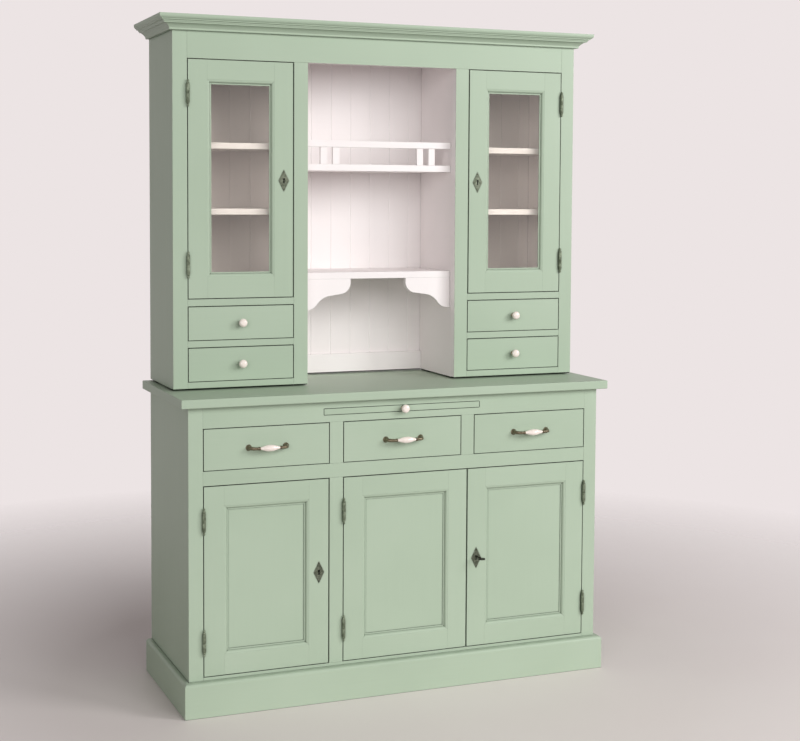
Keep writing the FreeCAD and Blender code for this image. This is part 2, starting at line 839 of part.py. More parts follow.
def make_hutch_boards():
    """Drawer decks, cupboard floors, drawer guides and shelves beside the niche"""
    decks = (("lower", lower_drawer_bottom), ("upper", upper_drawer_bottom))
    floors = decks + (("cupboard", glazed_floor_top),)
    bays = both_sides(hutch_partition_outside, inner_half_width)
    pieces = [
        board("hutch_%s_deck_%s" % (name, side),
              (low, hutch_frame_back, top - s.board_thickness), (high, back_boards_face, top))
        for name, top in floors for side, (low, high) in bays
    ]
    strips = (
        ("inner", hutch_partition_outside, hutch_inner_edge + guide_proud),
        ("outer", hutch_outer_edge - guide_proud, inner_half_width),
    )
    for name, bottom in decks:
        for place_name, near, far in strips:
            for side, edges in both_sides(near, far):
                pieces += deck_guides("hutch_%s_%s_guide_%s" % (name, place_name, side),
                                      [edges], bottom, hutch_frame_back)
    node("hutch_dust_boards", *pieces)
    heights = (("lower", lower_side_shelf_top),
               ("upper", lower_side_shelf_top + s.upper_side_shelf_rise))
    node("side_shelves", *[
        board("%s_shelf_%s" % (name, side),
              (low, hutch_face + s.side_shelf_setback, top - s.side_shelf_thickness),
              (high, back_boards_face, top))
        for name, top in heights for side, (low, high) in bays])


# Open niche

def make_niche():
    """Two shelves, the gallery, the brackets and the foot rail of the niche"""
    front = hutch_face + s.niche_shelf_setback
    heights = (("upper", upper_niche_shelf_top), ("lower", lower_niche_shelf_top))
    node("niche_shelves", *[
        board("niche_%s_shelf" % name, (-niche_half, front, top - s.niche_shelf_thickness),
              (niche_half, back_boards_face, top))
        for name, top in heights])
    node("shelf_gallery", *gallery_pieces(front))
    node("niche_brackets", *[
        niche_bracket(side, way, front) for side, way in (("left", 1), ("right", -1))])
    node("niche_back_rail", board(
        "niche_foot_rail",
        (-niche_half, back_boards_face - s.niche_back_rail_thickness, hutch_bottom),
        (niche_half, back_boards_face, hutch_bottom + s.niche_back_rail_height)))


def gallery_pieces(front):
    """The rail on four flat posts that stands on the front of the upper shelf"""
    bottom = upper_niche_shelf_top
    top = bottom + s.gallery_gap_height
    post_face = front + (s.gallery_rail_depth - s.gallery_post_depth) / 2
    pieces = [board("gallery_rail", (-niche_half, front, top),
                    (niche_half, front + s.gallery_rail_depth, top + s.gallery_rail_height))]
    insets = (("outer", s.gallery_outer_post_inset), ("inner", s.gallery_inner_post_inset))
    for name, inset in insets:
        outer = niche_half - inset
        for side, (low, high) in both_sides(outer - s.gallery_post_width, outer):
            pieces.append(board("gallery_%s_post_%s" % (name, side), (low, post_face, bottom),
                                (high, post_face + s.gallery_post_depth, top)))
    return pieces


def niche_bracket(side, way, front):
    """An ogee bracket under the lower niche shelf"""
    body = new_body("niche_bracket_" + side)
    face = new_sketch(body, "XZ_Plane")
    outline(face, [
        (s.bracket_length * (along * way), -s.bracket_drop * down, bulge * way)
        for along, down, bulge in BRACKET_SHARES])
    pad(body, face, s.bracket_thickness, backwards=True)
    place(body, -niche_half * way, front, lower_niche_shelf_top - s.niche_shelf_thickness)
    return body


# Doors

def moulded_member(name, length, width, cut_backs, keyhole=None):
    """A door stile or rail along +X, its moulding on the +Z edge and mitred at both ends"""
    body = new_body(name)
    section = new_sketch(body, "YZ_Plane")
    inner = width + s.moulding_width
    corners = [(0, 0), (s.door_thickness, 0), (s.door_thickness, width)]
    for across, deep, bulge in MOULDING_SHARES:
        corners.append((s.moulding_depth * deep, width + s.moulding_width * across, bulge))
    corners.append((0, width))
    outline(section, corners)
    pad(body, section, length)
    mitres = new_sketch(body, "XZ_Plane")
    for edge, way, cut_back in ((as_size(0), 1, cut_backs[0]), (length, -1, cut_backs[1])):
        corner = edge + cut_back * way
        mitred = corner + s.moulding_width * way
        outline(mitres, [
            (edge - s.overrun * way, width), (corner, width), (mitred, inner),
            (mitred, inner + s.overrun), (edge - s.overrun * way, inner + s.overrun),
        ])
    pocket(body, mitres)
    if keyhole is not None:
        bore = new_sketch(body, "XZ_Plane")
        ring(bore, keyhole, width / 2, s.keyhole_bore)
        pocket(body, bore)
    return body


def make_door(name, door):
    """The frame with its beads, the panel or pane, the hinge halves and the lock of a door"""
    stile, top_rail, bottom_rail = door.stile, door.top_rail, door.bottom_rail
    height = door.top - door.bottom
    run = door.right - door.left - stile * 2
    none = as_size(0)
    keyholes = {
        side: height / 2 + escutcheon_lift * way if side == door.lock_side else None
        for side, way in zip(SIDES, (-1, 1))}
    members = (
        ("stile_left", door.left, door.top, 90,
         (height, stile, (top_rail, bottom_rail), keyholes["left"])),
        ("stile_right", door.right, door.bottom, -90,
         (height, stile, (bottom_rail, top_rail), keyholes["right"])),
        ("top_rail", door.right - stile, door.top, 180, (run, top_rail, (none, none))),
        ("bottom_rail", door.left + stile, door.bottom, 0, (run, bottom_rail, (none, none))),
    )
    pieces = []
    for part_name, across, up, turn, sizes in members:
        member = moulded_member(name + "_" + part_name, *sizes)
        place(member, across, door.face, up, Rotation(Vector(0, 1, 0), turn))
        pieces.append(member)
    inside = SimpleNamespace(
        left=door.left + stile, right=door.right - stile,
        bottom=door.bottom + bottom_rail, top=door.top - top_rail,
        front=door.face + s.moulding_depth)
    infill = "glass" if door.infill is s.glass_thickness else "panel"
    node(name + "_frame", *pieces, *door_beads(name, door, inside))
    node(name + "_" + infill, board(
        "%s_%s_sheet" % (name, infill),
        (inside.left + s.panel_play, inside.front, inside.bottom + s.panel_play),
        (inside.right - s.panel_play, inside.front + door.infill, inside.top - s.panel_play)))
    make_hinges(name, door)
    if door.lock_side is not None:
        make_lock(name, door, height)


def door_beads(name, door, inside):
    """Four beads behind the panel or pane that hold it against the moulding"""
    width = s.glazing_bead_width
    front = inside.front + door.infill
    back = door.face + s.door_thickness
    spans = (
        ("left", inside.left, inside.left + width, inside.bottom, inside.top),
        ("right", inside.right - width, inside.right, inside.bottom, inside.top),
        ("bottom", inside.left + width, inside.right - width, inside.bottom, inside.bottom + width),
        ("top", inside.left + width, inside.right - width, inside.top - width, inside.top),
    )
    return [
        board("%s_bead_%s" % (name, side), (left, front, bottom), (right, back, top))
        for side, left, right, bottom, top in spans
    ]


# Hinges

def hinge_half(name, way, leaf_way, pinned):
    """Half of a lift-off hinge: a barrel with a finial and a leaf, and the pin if it has it"""
    body = new_body(name)
    radius = s.barrel_radius
    half = s.barrel_length / 2
    neck = radius * FINIAL_SHARES[0]
    bulb = radius * FINIAL_SHARES[1]
    section = new_sketch(body, "XZ_Plane")
    start = s.hinge_axial_play if way > 0 else as_size(0)
    bore = s.pin_radius + s.pin_play
    if pinned:
        inner = [(0, s.pin_length), (s.pin_radius, s.pin_length), (s.pin_radius, start)]
    else:
        depth = s.pin_length + s.hinge_axial_play
        inner = [(0, depth), (bore, depth), (bore, start)]
    outer = [
        (radius, start * way), (radius, half * way), (neck, half * way),
        (neck, (half + s.finial_length * FINIAL_SHARES[2]) * way, -FINIAL_BULGE_SHARE * way),
        (bulb, (half + s.finial_length * FINIAL_SHARES[3]) * way, -FINIAL_BULGE_SHARE * way),
        (radius * FINIAL_SHARES[4], (half + s.finial_length) * way),
        (0, (half + s.finial_length) * way),
    ]
    outline(section, inner + outer)
    revolve(body, section, "V_Axis")
    leaf = new_sketch(body, "XY_Plane")
    half_gap = s.door_gap / 2
    near = half_gap * leaf_way
    far = (half_gap - s.leaf_thickness) * leaf_way
    reach = s.pin_proud + s.door_thickness - s.leaf_back_margin
    outline(leaf, rectangle(near, bore + s.pin_play, far, reach))
    flat = pad(body, leaf, half)
    if way < 0:
        flat.Reversed = True
    else:
        bind(leaf, "AttachmentOffset.Base.z", start)
        bind(flat, "Length", half - start)
    return body


def make_hinges(name, door):
    """Two lift-off hinges, the pinned halves on the frame and the others on the door"""
    outward = -1 if door.hinge_side == "left" else 1
    edge = door.left if outward < 0 else door.right
    axis = edge + s.door_gap / 2 * outward
    heights = (("lower", door.bottom - s.door_gap + s.hinge_inset),
               ("upper", door.top + s.door_gap - s.hinge_inset))
    lifted = []
    for level, height in heights:
        fixed = hinge_half("%s_%s_hinge_fixed" % (name, level), -1, outward, True)
        moving = hinge_half("%s_%s_hinge_moving" % (name, level), 1, -outward, False)
        for half in (fixed, moving):
            place(half, axis, door.face - s.pin_proud, height)
        frame_hinge_halves.append(fixed)
        lifted.append(moving)
    node(name + "_hinges", *lifted)


# Locks and key

def make_lock(name, door, height):
    """The escutcheon, lock case and bolt on the free stile of a door"""
    way = -1 if door.lock_side == "left" else 1
    edge = door.left if way < 0 else door.right
    across = edge - door.stile / 2 * way
    up = door.bottom + height / 2 + s.keyhole_lift
    reach = door.stile / 2 - s.lock_edge_margin
    pieces = [escutcheon(name), lock_case(name, way, reach)]
    bolt = lock_bolt(name, way, reach)
    for piece in (*pieces, bolt):
        place(piece, across, door.face, up)
    if door.has_key:
        node(name + "_lock", *pieces)
        node(name + "_lock_bolt", bolt)
        key = make_key()
        place(key, across, door.face, up)
        node(name + "_key", key)
    else:
        node(name + "_lock", *pieces, bolt)


def escutcheon(name):
    """A diamond-shaped plate with a keyhole, whose round top is on the key's axis"""
    body = new_body(name + "_escutcheon")
    face = new_sketch(body, "XZ_Plane")
    half_wide = s.escutcheon_width / 2
    half_high = s.escutcheon_height / 2
    middle = -s.escutcheon_drop
    outline(face, [(-half_wide, middle), (0, middle - half_high),
                   (half_wide, middle), (0, middle + half_high)])
    pad(body, face, s.escutcheon_thickness)
    hole = new_sketch(body, "XZ_Plane")
    ring(hole, 0, 0, s.keyhole_radius)
    pocket(body, hole)
    slot = new_sketch(body, "XZ_Plane")
    half_slot = s.keyhole_slot_width / 2
    half_waist = half_slot * KEYHOLE_WAIST_SHARE
    outline(slot, [(-half_waist, 0), (-half_slot, -s.keyhole_slot_depth),
                   (half_slot, -s.keyhole_slot_depth), (half_waist, 0)])
    pocket(body, slot)
    return body


def lock_case(name, way, reach):
    """A pressed tray behind the stile, open towards the door, with a mouth for the bolt"""
    body = new_body(name + "_lock_case")
    low, high = sorted_pair(reach * way, -s.lock_inner_side * way)
    half = s.lock_half_height
    plate = new_sketch(body, "XZ_Plane", -s.door_thickness)
    outline(plate, rectangle(low, -half, high, half))
    pad(body, plate, s.lock_depth, backwards=True)
    tray = new_sketch(body, "XZ_Plane", -s.door_thickness)
    wall = s.lock_wall
    outline(tray, rectangle(low + wall, wall - half, high - wall, half - wall))
    pocket(body, tray, s.lock_depth - wall)
    mouth = new_sketch(body, "YZ_Plane")
    front = s.door_thickness + s.bolt_lead
    outline(mouth, rectangle(
        front - s.bolt_play, s.bolt_above_axis - s.bolt_play,
        front + s.bolt_thickness + s.bolt_play,
        s.bolt_above_axis + s.bolt_height + s.bolt_play))
    cut = pocket(body, mouth, reach + s.overrun)
    cut.Reversed = way > 0
    bore = new_sketch(body, "XZ_Plane")
    ring(bore, 0, 0, s.key_stem_radius + s.pin_play)
    pocket(body, bore)
    return body


def lock_bolt(name, way, reach):
    """The sliding bolt, with the notch that the key's bit turns in"""
    body = new_body(name + "_bolt_bar")
    face = new_sketch(body, "XZ_Plane", -(s.door_thickness + s.bolt_lead))
    low = s.bolt_above_axis
    high = low + s.bolt_height
    notch = low + s.talon_height
    tail = s.talon_start + s.talon_width + s.talon_tail
    outline(face, [
        (reach * way, low), (-s.talon_start * way, low), (-s.talon_start * way, notch),
        (-(s.talon_start + s.talon_width) * way, notch),
        (-(s.talon_start + s.talon_width) * way, low), (-tail * way, low),
        (-tail * way, high), (reach * way, high),
    ])
    pad(body, face, s.bolt_thickness, backwards=True)
    return body


def make_key():
    """A key through the lock: a stem with a collar and a ring bow, and a bit at the bolt"""
    body = new_body("key_blank")
    stem = new_sketch(body, "XZ_Plane")
    ring(stem, 0, 0, s.key_stem_radius)
    ring_wall = s.key_bow_radius - s.key_bow_hole_radius
    pad(body, stem, s.key_stem_length + ring_wall / 2, s.door_thickness + s.lock_depth)
    collar = new_sketch(body, "XZ_Plane", s.key_stem_length - s.key_collar_thickness)
    ring(collar, 0, 0, s.key_collar_radius)
    pad(body, collar, s.key_collar_thickness)
    bit = new_sketch(body, "XZ_Plane", -(s.door_thickness + s.bolt_lead))
    half_bit = s.key_bit_thickness / 2
    outline(bit, rectangle(0, -half_bit, s.key_bit_length, half_bit))
    pad(body, bit, s.bolt_thickness, backwards=True)
    bow = new_sketch(body, "XY_Plane")
    centre = -s.key_stem_length - s.key_bow_radius
    ring(bow, 0, centre, s.key_bow_radius)
    ring(bow, 0, centre, s.key_bow_hole_radius)
    pad(body, bow, s.key_bow_thickness, both_ways=True)
    return body


# Drawers, pull-out board, handles and knobs

def drawer_box(name, opening, bottom, face, sizes):
    """A drawer: front, two sides, back and bottom, which run on the deck below"""
    left, right = opening[0] + s.drawer_gap, opening[1] - s.drawer_gap
    opening_height, side_height, depth = sizes
    front_back = face + s.drawer_front_thickness
    back = front_back + depth
    low = bottom + s.drawer_running_gap
    high = low + side_height
    thick = s.drawer_side_thickness
    inner_left, inner_right = left + thick, right - thick
    base_low = low + s.drawer_bottom_lift
    node(
        name,
        board(name + "_front", (left, face, bottom + s.drawer_gap),
              (right, front_back, bottom + opening_height - s.drawer_gap)),
        board(name + "_side_left", (left, front_back, low), (inner_left, back, high)),
        board(name + "_side_right", (inner_right, front_back, low), (right, back, high)),
        board(name + "_back", (inner_left, back - thick, low), (inner_right, back, high)),
        board(name + "_bottom", (inner_left, front_back, base_low),
              (inner_right, back - thick, base_low + s.drawer_bottom_thickness)))
    return (left + right) / 2, bottom + opening_height / 2


def handle_arm(name, way):
    """A domed foot, the bent rod that rises from it, and the collar at the grip's end"""
    body = new_body(name)
    across = s.handle_spacing / 2 * way
    foot = new_sketch(body, "XY_Plane")
    bind(foot, "AttachmentOffset.Base.x", across)
    outline(foot, [
        (s.handle_foot_radius * out, -s.handle_foot_thickness * along, bulge)
        for out, along, bulge in FOOT_SHARES])
    revolve(body, foot, "V_Axis")
    section = new_sketch(body, "XZ_Plane")
    ring(section, across, 0, s.handle_rod_radius)
    path = new_sketch(body, "XY_Plane")
    outline(path, [
        (across, 0), (across, -s.handle_rise, -QUARTER_TURN_SHARE * way),
        (across - s.handle_bend * way, -handle_standoff),
        ((half_grip + s.handle_collar_length / 2) * way, -handle_standoff),
    ], closed=False)
    rod = body.newObject("PartDesign::AdditivePipe", "AdditivePipe")
    rod.Profile = section
    rod.Spine = (path, ["Edge1", "Edge2", "Edge3"])
    collar = new_sketch(body, "XY_Plane")
    bind(collar, "AttachmentOffset.Base.y", -handle_standoff)
    far = half_grip + s.handle_collar_length
    wide = half_grip + s.handle_collar_length * COLLAR_SHARE
    outline(collar, [
        (half_grip * way, 0), (half_grip * way, s.handle_collar_radius),
        (wide * way, s.handle_collar_radius),
        (far * way, s.handle_rod_radius * COLLAR_END_SHARE), (far * way, 0),
    ])
    revolve(body, collar, "H_Axis")
    return body


def make_handle(name, across, up):
    """A drawer handle: two bent arms with an olive-shaped ceramic grip between them"""
    arms = [handle_arm("%s_arm_%s" % (name, side), way) for side, way in zip(SIDES, (-1, 1))]
    grip = new_body(name + "_grip")
    swell = new_sketch(grip, "XY_Plane")
    outline(swell, [
        (-half_grip, 0), (half_grip, 0), (half_grip, s.grip_end_radius, grip_bulge_share()),
        (-half_grip, s.grip_end_radius),
    ])
    revolve(grip, swell, "H_Axis")
    for arm in arms:
        place(arm, across, base_face, up)
    place(grip, across, base_face - handle_standoff, up)
    node(name, *arms, grip)


def grip_bulge_share():
    """How much the grip's outline swells over its length, as the bulge of one arc"""
    return (s.grip_radius.value - s.grip_end_radius.value) / half_grip.value


def make_knob(name, across, face, up):
    """A turned knob on a small flange"""
    body = new_body(name + "_turning")
    section = new_sketch(body, "XY_Plane")
    outline(section, [
        (s.knob_radius * out, -s.knob_projection * along, bulge)
        for out, along, bulge in KNOB_SHARES])
    revolve(body, section, "V_Axis")
    place(body, across, face, up)
    node(name, body)


def make_drawers():
    """Three base drawers with handles and four small hutch drawers with knobs"""
    openings = (
        ("left", (-outer_edge, -inner_stile_outside)),
        ("middle", (-inner_stile_inside, inner_stile_inside)),
        ("right", (inner_stile_outside, outer_edge)),
    )
    sizes = (s.drawer_opening_height, s.drawer_side_height, s.drawer_depth)
    for side, opening in openings:
        name = "base_drawer_" + side
        across, up = drawer_box(name, opening, drawer_opening_bottom, base_face, sizes)
        make_handle(name + "_handle", across, up)
    sizes = (s.small_drawer_opening_height, s.small_drawer_side_height, s.small_drawer_depth)
    levels = (("upper", upper_drawer_bottom), ("lower", lower_drawer_bottom))
    for level, bottom in levels:
        for side, opening in both_sides(hutch_inner_edge, hutch_outer_edge):
            name = "hutch_drawer_%s_%s" % (level, side)
            across, up = drawer_box(name, opening, bottom, hutch_face, sizes)
            make_knob(name + "_knob", across, hutch_face, up)


def make_pull_out():
    """The pull-out board with its thicker front strip and a knob"""
    half = s.slot_width / 2 - s.slot_gap
    low = slot_bottom + s.slot_gap
    strip_back = base_face + s.pull_out_front_thickness
    node(
        "pull_out_board",
        board("pull_out_front", (-half, base_face, low),
              (half, strip_back, low + s.slot_height - s.slot_gap * 2)),
        board("pull_out_leaf", (-half, strip_back, low),
              (half, strip_back + s.pull_out_depth, low + s.pull_out_board_thickness)))
    make_knob("pull_out_knob", as_size(0), base_face, slot_bottom + s.slot_height / 2)


# Everything together

DOORS = {
    "left_door": SimpleNamespace(
        left=s.door_gap - outer_edge, right=-inner_stile_outside - s.lock_side_gap,
        hinge_side="left", lock_side="right", has_key=False, **vars(base_door)),
    "middle_door": SimpleNamespace(
        left=s.door_gap - inner_stile_inside, right=stile_centre - s.meeting_gap / 2,
        hinge_side="left", lock_side=None, has_key=False, **vars(base_door)),
    "right_door": SimpleNamespace(
        left=stile_centre + s.meeting_gap / 2, right=outer_edge - s.door_gap,
        hinge_side="right", lock_side="left", has_key=True, **vars(base_door)),
    "left_glazed_door": SimpleNamespace(
        left=s.door_gap - hutch_outer_edge, right=-hutch_inner_edge - s.lock_side_gap,
        hinge_side="left", lock_side="right", has_key=False, **vars(glazed_door)),
    "right_glazed_door": SimpleNamespace(
        left=hutch_inner_edge + s.lock_side_gap, right=hutch_outer_edge - s.door_gap,
        hinge_side="right", lock_side="left", has_key=False, **vars(glazed_door)),
}

make_worktop()
make_base_boards()
make_backs()
make_base_frame()
make_plinth()
make_hutch_uprights()
make_hutch_frame()
make_hutch_boards()
make_niche()
make_cornice()
for door_name, door_sizes in DOORS.items():
    make_door(door_name, door_sizes)
node("hinge_frame_halves", *frame_hinge_halves)
make_drawers()
make_pull_out()

doc.recompute()
faults = []
for thing in doc.Objects:
    if "Invalid" in thing.State or "Error" in thing.State:
        faults.append(thing.Name + " failed to build")
for sub_part in nodes:
    if sub_part.Shape.isNull() or not sub_part.Shape.isValid():
        faults.append(sub_part.Label + " has no valid shape")
if faults:
    raise RuntimeError("; ".join(faults))

os.makedirs("parts", exist_ok=True)
for sub_part in nodes:
    sub_part.Shape.exportStep("parts/%s.step" % sub_part.Label)
print(len(nodes), "nodes,", sum(len(sub_part.Shape.Solids) for sub_part in nodes), "solids")
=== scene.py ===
import json
import math

import bmesh
import bpy
from mathutils import Matrix, Vector, noise


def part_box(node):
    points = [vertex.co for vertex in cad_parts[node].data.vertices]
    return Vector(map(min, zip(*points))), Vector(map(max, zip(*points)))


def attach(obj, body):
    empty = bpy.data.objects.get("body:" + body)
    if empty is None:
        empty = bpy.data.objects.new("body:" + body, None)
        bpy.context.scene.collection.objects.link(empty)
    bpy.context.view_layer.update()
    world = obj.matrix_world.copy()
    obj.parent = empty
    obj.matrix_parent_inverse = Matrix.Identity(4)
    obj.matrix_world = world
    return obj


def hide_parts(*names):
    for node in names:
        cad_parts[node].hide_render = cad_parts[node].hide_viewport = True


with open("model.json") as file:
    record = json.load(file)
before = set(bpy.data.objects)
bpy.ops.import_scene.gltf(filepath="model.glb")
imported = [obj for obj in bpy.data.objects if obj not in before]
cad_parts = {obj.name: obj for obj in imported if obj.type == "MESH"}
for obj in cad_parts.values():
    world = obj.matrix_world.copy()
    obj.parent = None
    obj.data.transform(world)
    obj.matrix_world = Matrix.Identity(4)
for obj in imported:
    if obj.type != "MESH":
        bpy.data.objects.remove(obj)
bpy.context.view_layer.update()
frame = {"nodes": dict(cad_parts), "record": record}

bodyNodes = frame["record"]["behaviour"]["bodies"]
nodeBody = {name: body for body, names in bodyNodes.items() for name in names}
nodeSlot = {part["node"]: part["material_slot"] for part in frame["record"]["subparts"]}
mm = 0.001  # one millimetre in Blender's metres


# Colours and material nodes

def toLinear(hexColour):  # sRGB hex to the linear RGBA that sockets hold
    parts = [int(hexColour[i:i + 2], 16) / 255 for i in (1, 3, 5)]
    return tuple(c / 12.92 if c <= 0.04045 else ((c + 0.055) / 1.055) ** 2.4 for c in parts) + (1.0,)


def addNode(owner, kind, settings=None, links=None):  # adds a node to a material or world
    node = owner.node_tree.nodes.new("ShaderNode" + kind)
    for name, value in (settings or {}).items():
        if name == "stops":
            for place, colour in value[1:-1]:
                node.color_ramp.elements.new(place)
            for element, (place, colour) in zip(node.color_ramp.elements, value):
                element.position = place
                element.color = toLinear(colour)
        elif isinstance(name, int) or name in node.inputs:
            node.inputs[name].default_value = value
        else:
            setattr(node, name, value)
    for name, source in (links or {}).items():
        owner.node_tree.links.new(source, node.inputs[name])
    return node


def spread(low, high, least=0.0, most=1.0):  # settings that map low..high to least..most
    return {"From Min": low, "From Max": high, "To Min": least, "To Max": most}


def perMetre(lengthMm):  # a pattern's scale from its real size in millimetres
    return 1000 / lengthMm


def newMaterial(name):
    material = bpy.data.materials.new(name)
    material.use_nodes = True
    material.node_tree.nodes.clear()
    return material


def finishMaterial(material, shader):
    addNode(material, "OutputMaterial", None, {"Surface": shader})
    return material


# Finishes

# Satin furniture lacquer, rolled and brushed on primed softwood: an even coat with faint brush strokes
# along each board, a slow drift in tone and thin pale edges. Shade is painted in: the coat darkens in its
# recesses, and gaps, joints and bores are painted near-black (joint)
satinCoat = {
    "strokeWidthMm": 2.6, "strokeLengthMm": 240.0, "strokeShare": 0.2, "peelMm": 2.4, "peelShare": 0.35,
    "driftShare": (0.1, 0.6), "tones": (0.1, 0.5, 0.9), "glossSwing": (-0.05, 0.08), "bump": 0.03,
    "reliefMm": 0.6, "ior": 1.5, "specular": 0.3, "recessSamples": 6, "joint": "#0D130D"}
# recess: the colour painted as shade into the green coat's recesses and gaps
sageLacquer = dict(
    satinCoat, coat="#ABBBA6", coatDark="#A7B7A2", coatLight="#AFBEAA", worn="#B7C4B1", edgeWear=0.25,
    recess="#141C13", recessReachMm=4.0, recessOpenness=(0.25, 0.65), roughness=0.42, driftMm=380.0)
mouldedLacquer = dict(sageLacquer, recessOpenness=(0.45, 0.95))  # more painted shade in the doors' mouldings
# recess: the warm grey painted as shade into the white coat's recesses
whiteLacquer = dict(
    satinCoat, coat="#F3EDEC", coatDark="#F0E9E8", coatLight="#F5F0EF", worn="#F6F2F1", edgeWear=0.5,
    recess="#6E6661", recessReachMm=5.0, recessOpenness=(0.15, 0.5), roughness=0.45, driftMm=300.0)


def lacquer(name, look):
    material = newMaterial(name)
    board = addNode(material, "Attribute", {"attribute_name": "boardSpace"}).outputs["Vector"]
    edge = addNode(material, "Attribute", {"attribute_name": "edgeShare"}).outputs["Fac"]
    grime = addNode(material, "Attribute", {"attribute_name": "grimeShare"}).outputs["Fac"]
    tone = addNode(material, "Attribute", {"attribute_name": "boardTone"}).outputs["Fac"]
    across, along = perMetre(look["strokeWidthMm"]), perMetre(look["strokeLengthMm"])
    strokePlace = addNode(material, "Mapping", {"Scale": (along, across, across)}, {"Vector": board})
    strokes = addNode(material, "TexNoise", {"Scale": 1.0, "Detail": 3.0, "Roughness": 0.6},
                      {"Vector": strokePlace.outputs["Vector"]}).outputs["Fac"]
    drift = addNode(material, "TexNoise", {
        "Scale": perMetre(look["driftMm"]), "Detail": 2.0, "Roughness": 0.5},
        {"Vector": board}).outputs["Fac"]
    peel = addNode(material, "TexNoise", {"Scale": perMetre(look["peelMm"]), "Detail": 1.0},
                   {"Vector": board}).outputs["Fac"]
    slow = addNode(material, "MapRange", spread(0.3, 0.7, *look["driftShare"]), {"Value": drift})
    fine = addNode(material, "MapRange", spread(0.25, 0.75, 0.0, look["strokeShare"]), {"Value": strokes})
    blend = addNode(material, "Math", {"operation": "ADD"}, {
        0: slow.outputs["Result"], 1: fine.outputs["Result"]})
    shifted = addNode(material, "Math", {"operation": "ADD"}, {0: blend.outputs[0], 1: tone})
    coats = tuple(zip(look["tones"], (look["coatDark"], look["coat"], look["coatLight"])))
    coat = addNode(material, "ValToRGB", {"stops": coats}, {"Fac": shifted.outputs[0]})
    wear = addNode(material, "MapRange", spread(0.0, 1.0, 0.0, look["edgeWear"]), {"Value": edge})
    thin = addNode(material, "Mix", {"data_type": "RGBA", 7: toLinear(look["worn"])},
                   {"Factor": wear.outputs["Result"], 6: coat.outputs["Color"]})
    # Painted shade: the coat turns to the recess colour where other surfaces close in within a few millimetres
    openness = addNode(material, "AmbientOcclusion", {
        "Distance": look["recessReachMm"] * mm, "samples": look["recessSamples"]})
    clean = addNode(material, "MapRange", spread(*look["recessOpenness"]), {"Value": openness.outputs["AO"]})
    settled = addNode(material, "Mix", {"data_type": "RGBA", 6: toLinear(look["recess"])},
                      {"Factor": clean.outputs["Result"], 7: thin.outputs[2]})
    # Painted shade: rims, joints and bores marked in the shade layer turn near-black
    soiled = addNode(material, "Mix", {"data_type": "RGBA", 7: toLinear(look["joint"])},
                     {"Factor": grime, 6: settled.outputs[2]})
    glossy, dull = (look["roughness"] + swing for swing in look["glossSwing"])
    rough = addNode(material, "MapRange", spread(0.3, 0.7, glossy, dull), {"Value": strokes})
    grit = addNode(material, "MapRange", spread(0.0, 1.0, 0.0, look["peelShare"]), {"Value": peel})
    relief = addNode(material, "Math", {"operation": "ADD"}, {0: strokes, 1: grit.outputs["Result"]})
    bump = addNode(material, "Bump", {"Strength": look["bump"], "Distance": look["reliefMm"] * mm},
                   {"Height": relief.outputs[0]})
    shader = addNode(material, "BsdfPrincipled", {
        "IOR": look["ior"], "Specular IOR Level": look["specular"]}, {
        "Base Color": soiled.outputs[2], "Roughness": rough.outputs["Result"],
        "Normal": bump.outputs["Normal"]})
    return finishMaterial(material, shader.outputs["BSDF"])


# Clear-lacquered spruce of the drawer boxes: fine straight grain along the board, warm and pale. The rings
# are drawn a few times as wide as real ones, which would be too fine to show
spruce = {
    "early": "#E2CBA6", "late": "#CBA878", "ringMm": 13.5, "figuresPerMetre": 2.2, "layersPerMetre": 60.0,
    "waviness": 0.4, "fibreMm": 0.8, "fibresPerMetre": 12.0, "ringShare": 0.8, "fibreShare": 0.25,
    "tones": (0.1, 0.9), "roughness": 0.5, "ior": 1.5, "bump": 0.15, "reliefMm": 0.3}


def lacqueredSpruce():
    material = newMaterial("lacqueredSpruce")
    board = addNode(material, "Attribute", {"attribute_name": "boardSpace"}).outputs["Vector"]
    ringScale = (spruce["figuresPerMetre"], perMetre(spruce["ringMm"]), spruce["layersPerMetre"])
    ringPlace = addNode(material, "Mapping", {"Scale": ringScale}, {"Vector": board})
    rings = addNode(material, "TexNoise", {
        "Scale": 1.0, "Detail": 4.0, "Roughness": 0.55, "Distortion": spruce["waviness"]},
        {"Vector": ringPlace.outputs["Vector"]}).outputs["Fac"]
    fibreScale = (spruce["fibresPerMetre"], perMetre(spruce["fibreMm"]), perMetre(spruce["fibreMm"]))
    fibrePlace = addNode(material, "Mapping", {"Scale": fibreScale}, {"Vector": board})
    fibres = addNode(material, "TexNoise", {"Scale": 1.0, "Detail": 2.0},
                     {"Vector": fibrePlace.outputs["Vector"]}).outputs["Fac"]
    broad = addNode(material, "MapRange", spread(0.35, 0.65, 0.0, spruce["ringShare"]), {"Value": rings})
    streaks = addNode(material, "MapRange", spread(0.3, 0.7, 0.0, spruce["fibreShare"]), {"Value": fibres})
    grain = addNode(material, "Math", {"operation": "ADD"}, {
        0: broad.outputs["Result"], 1: streaks.outputs["Result"]})
    woods = tuple(zip(spruce["tones"], (spruce["early"], spruce["late"])))
    colour = addNode(material, "ValToRGB", {"stops": woods}, {"Fac": grain.outputs[0]})
    bump = addNode(material, "Bump", {"Strength": spruce["bump"], "Distance": spruce["reliefMm"] * mm},
                   {"Height": fibres})
    shader = addNode(material, "BsdfPrincipled", {"IOR": spruce["ior"], "Roughness": spruce["roughness"]}, {
        "Base Color": colour.outputs["Color"], "Normal": bump.outputs["Normal"]})
    return finishMaterial(material, shader.outputs["BSDF"])


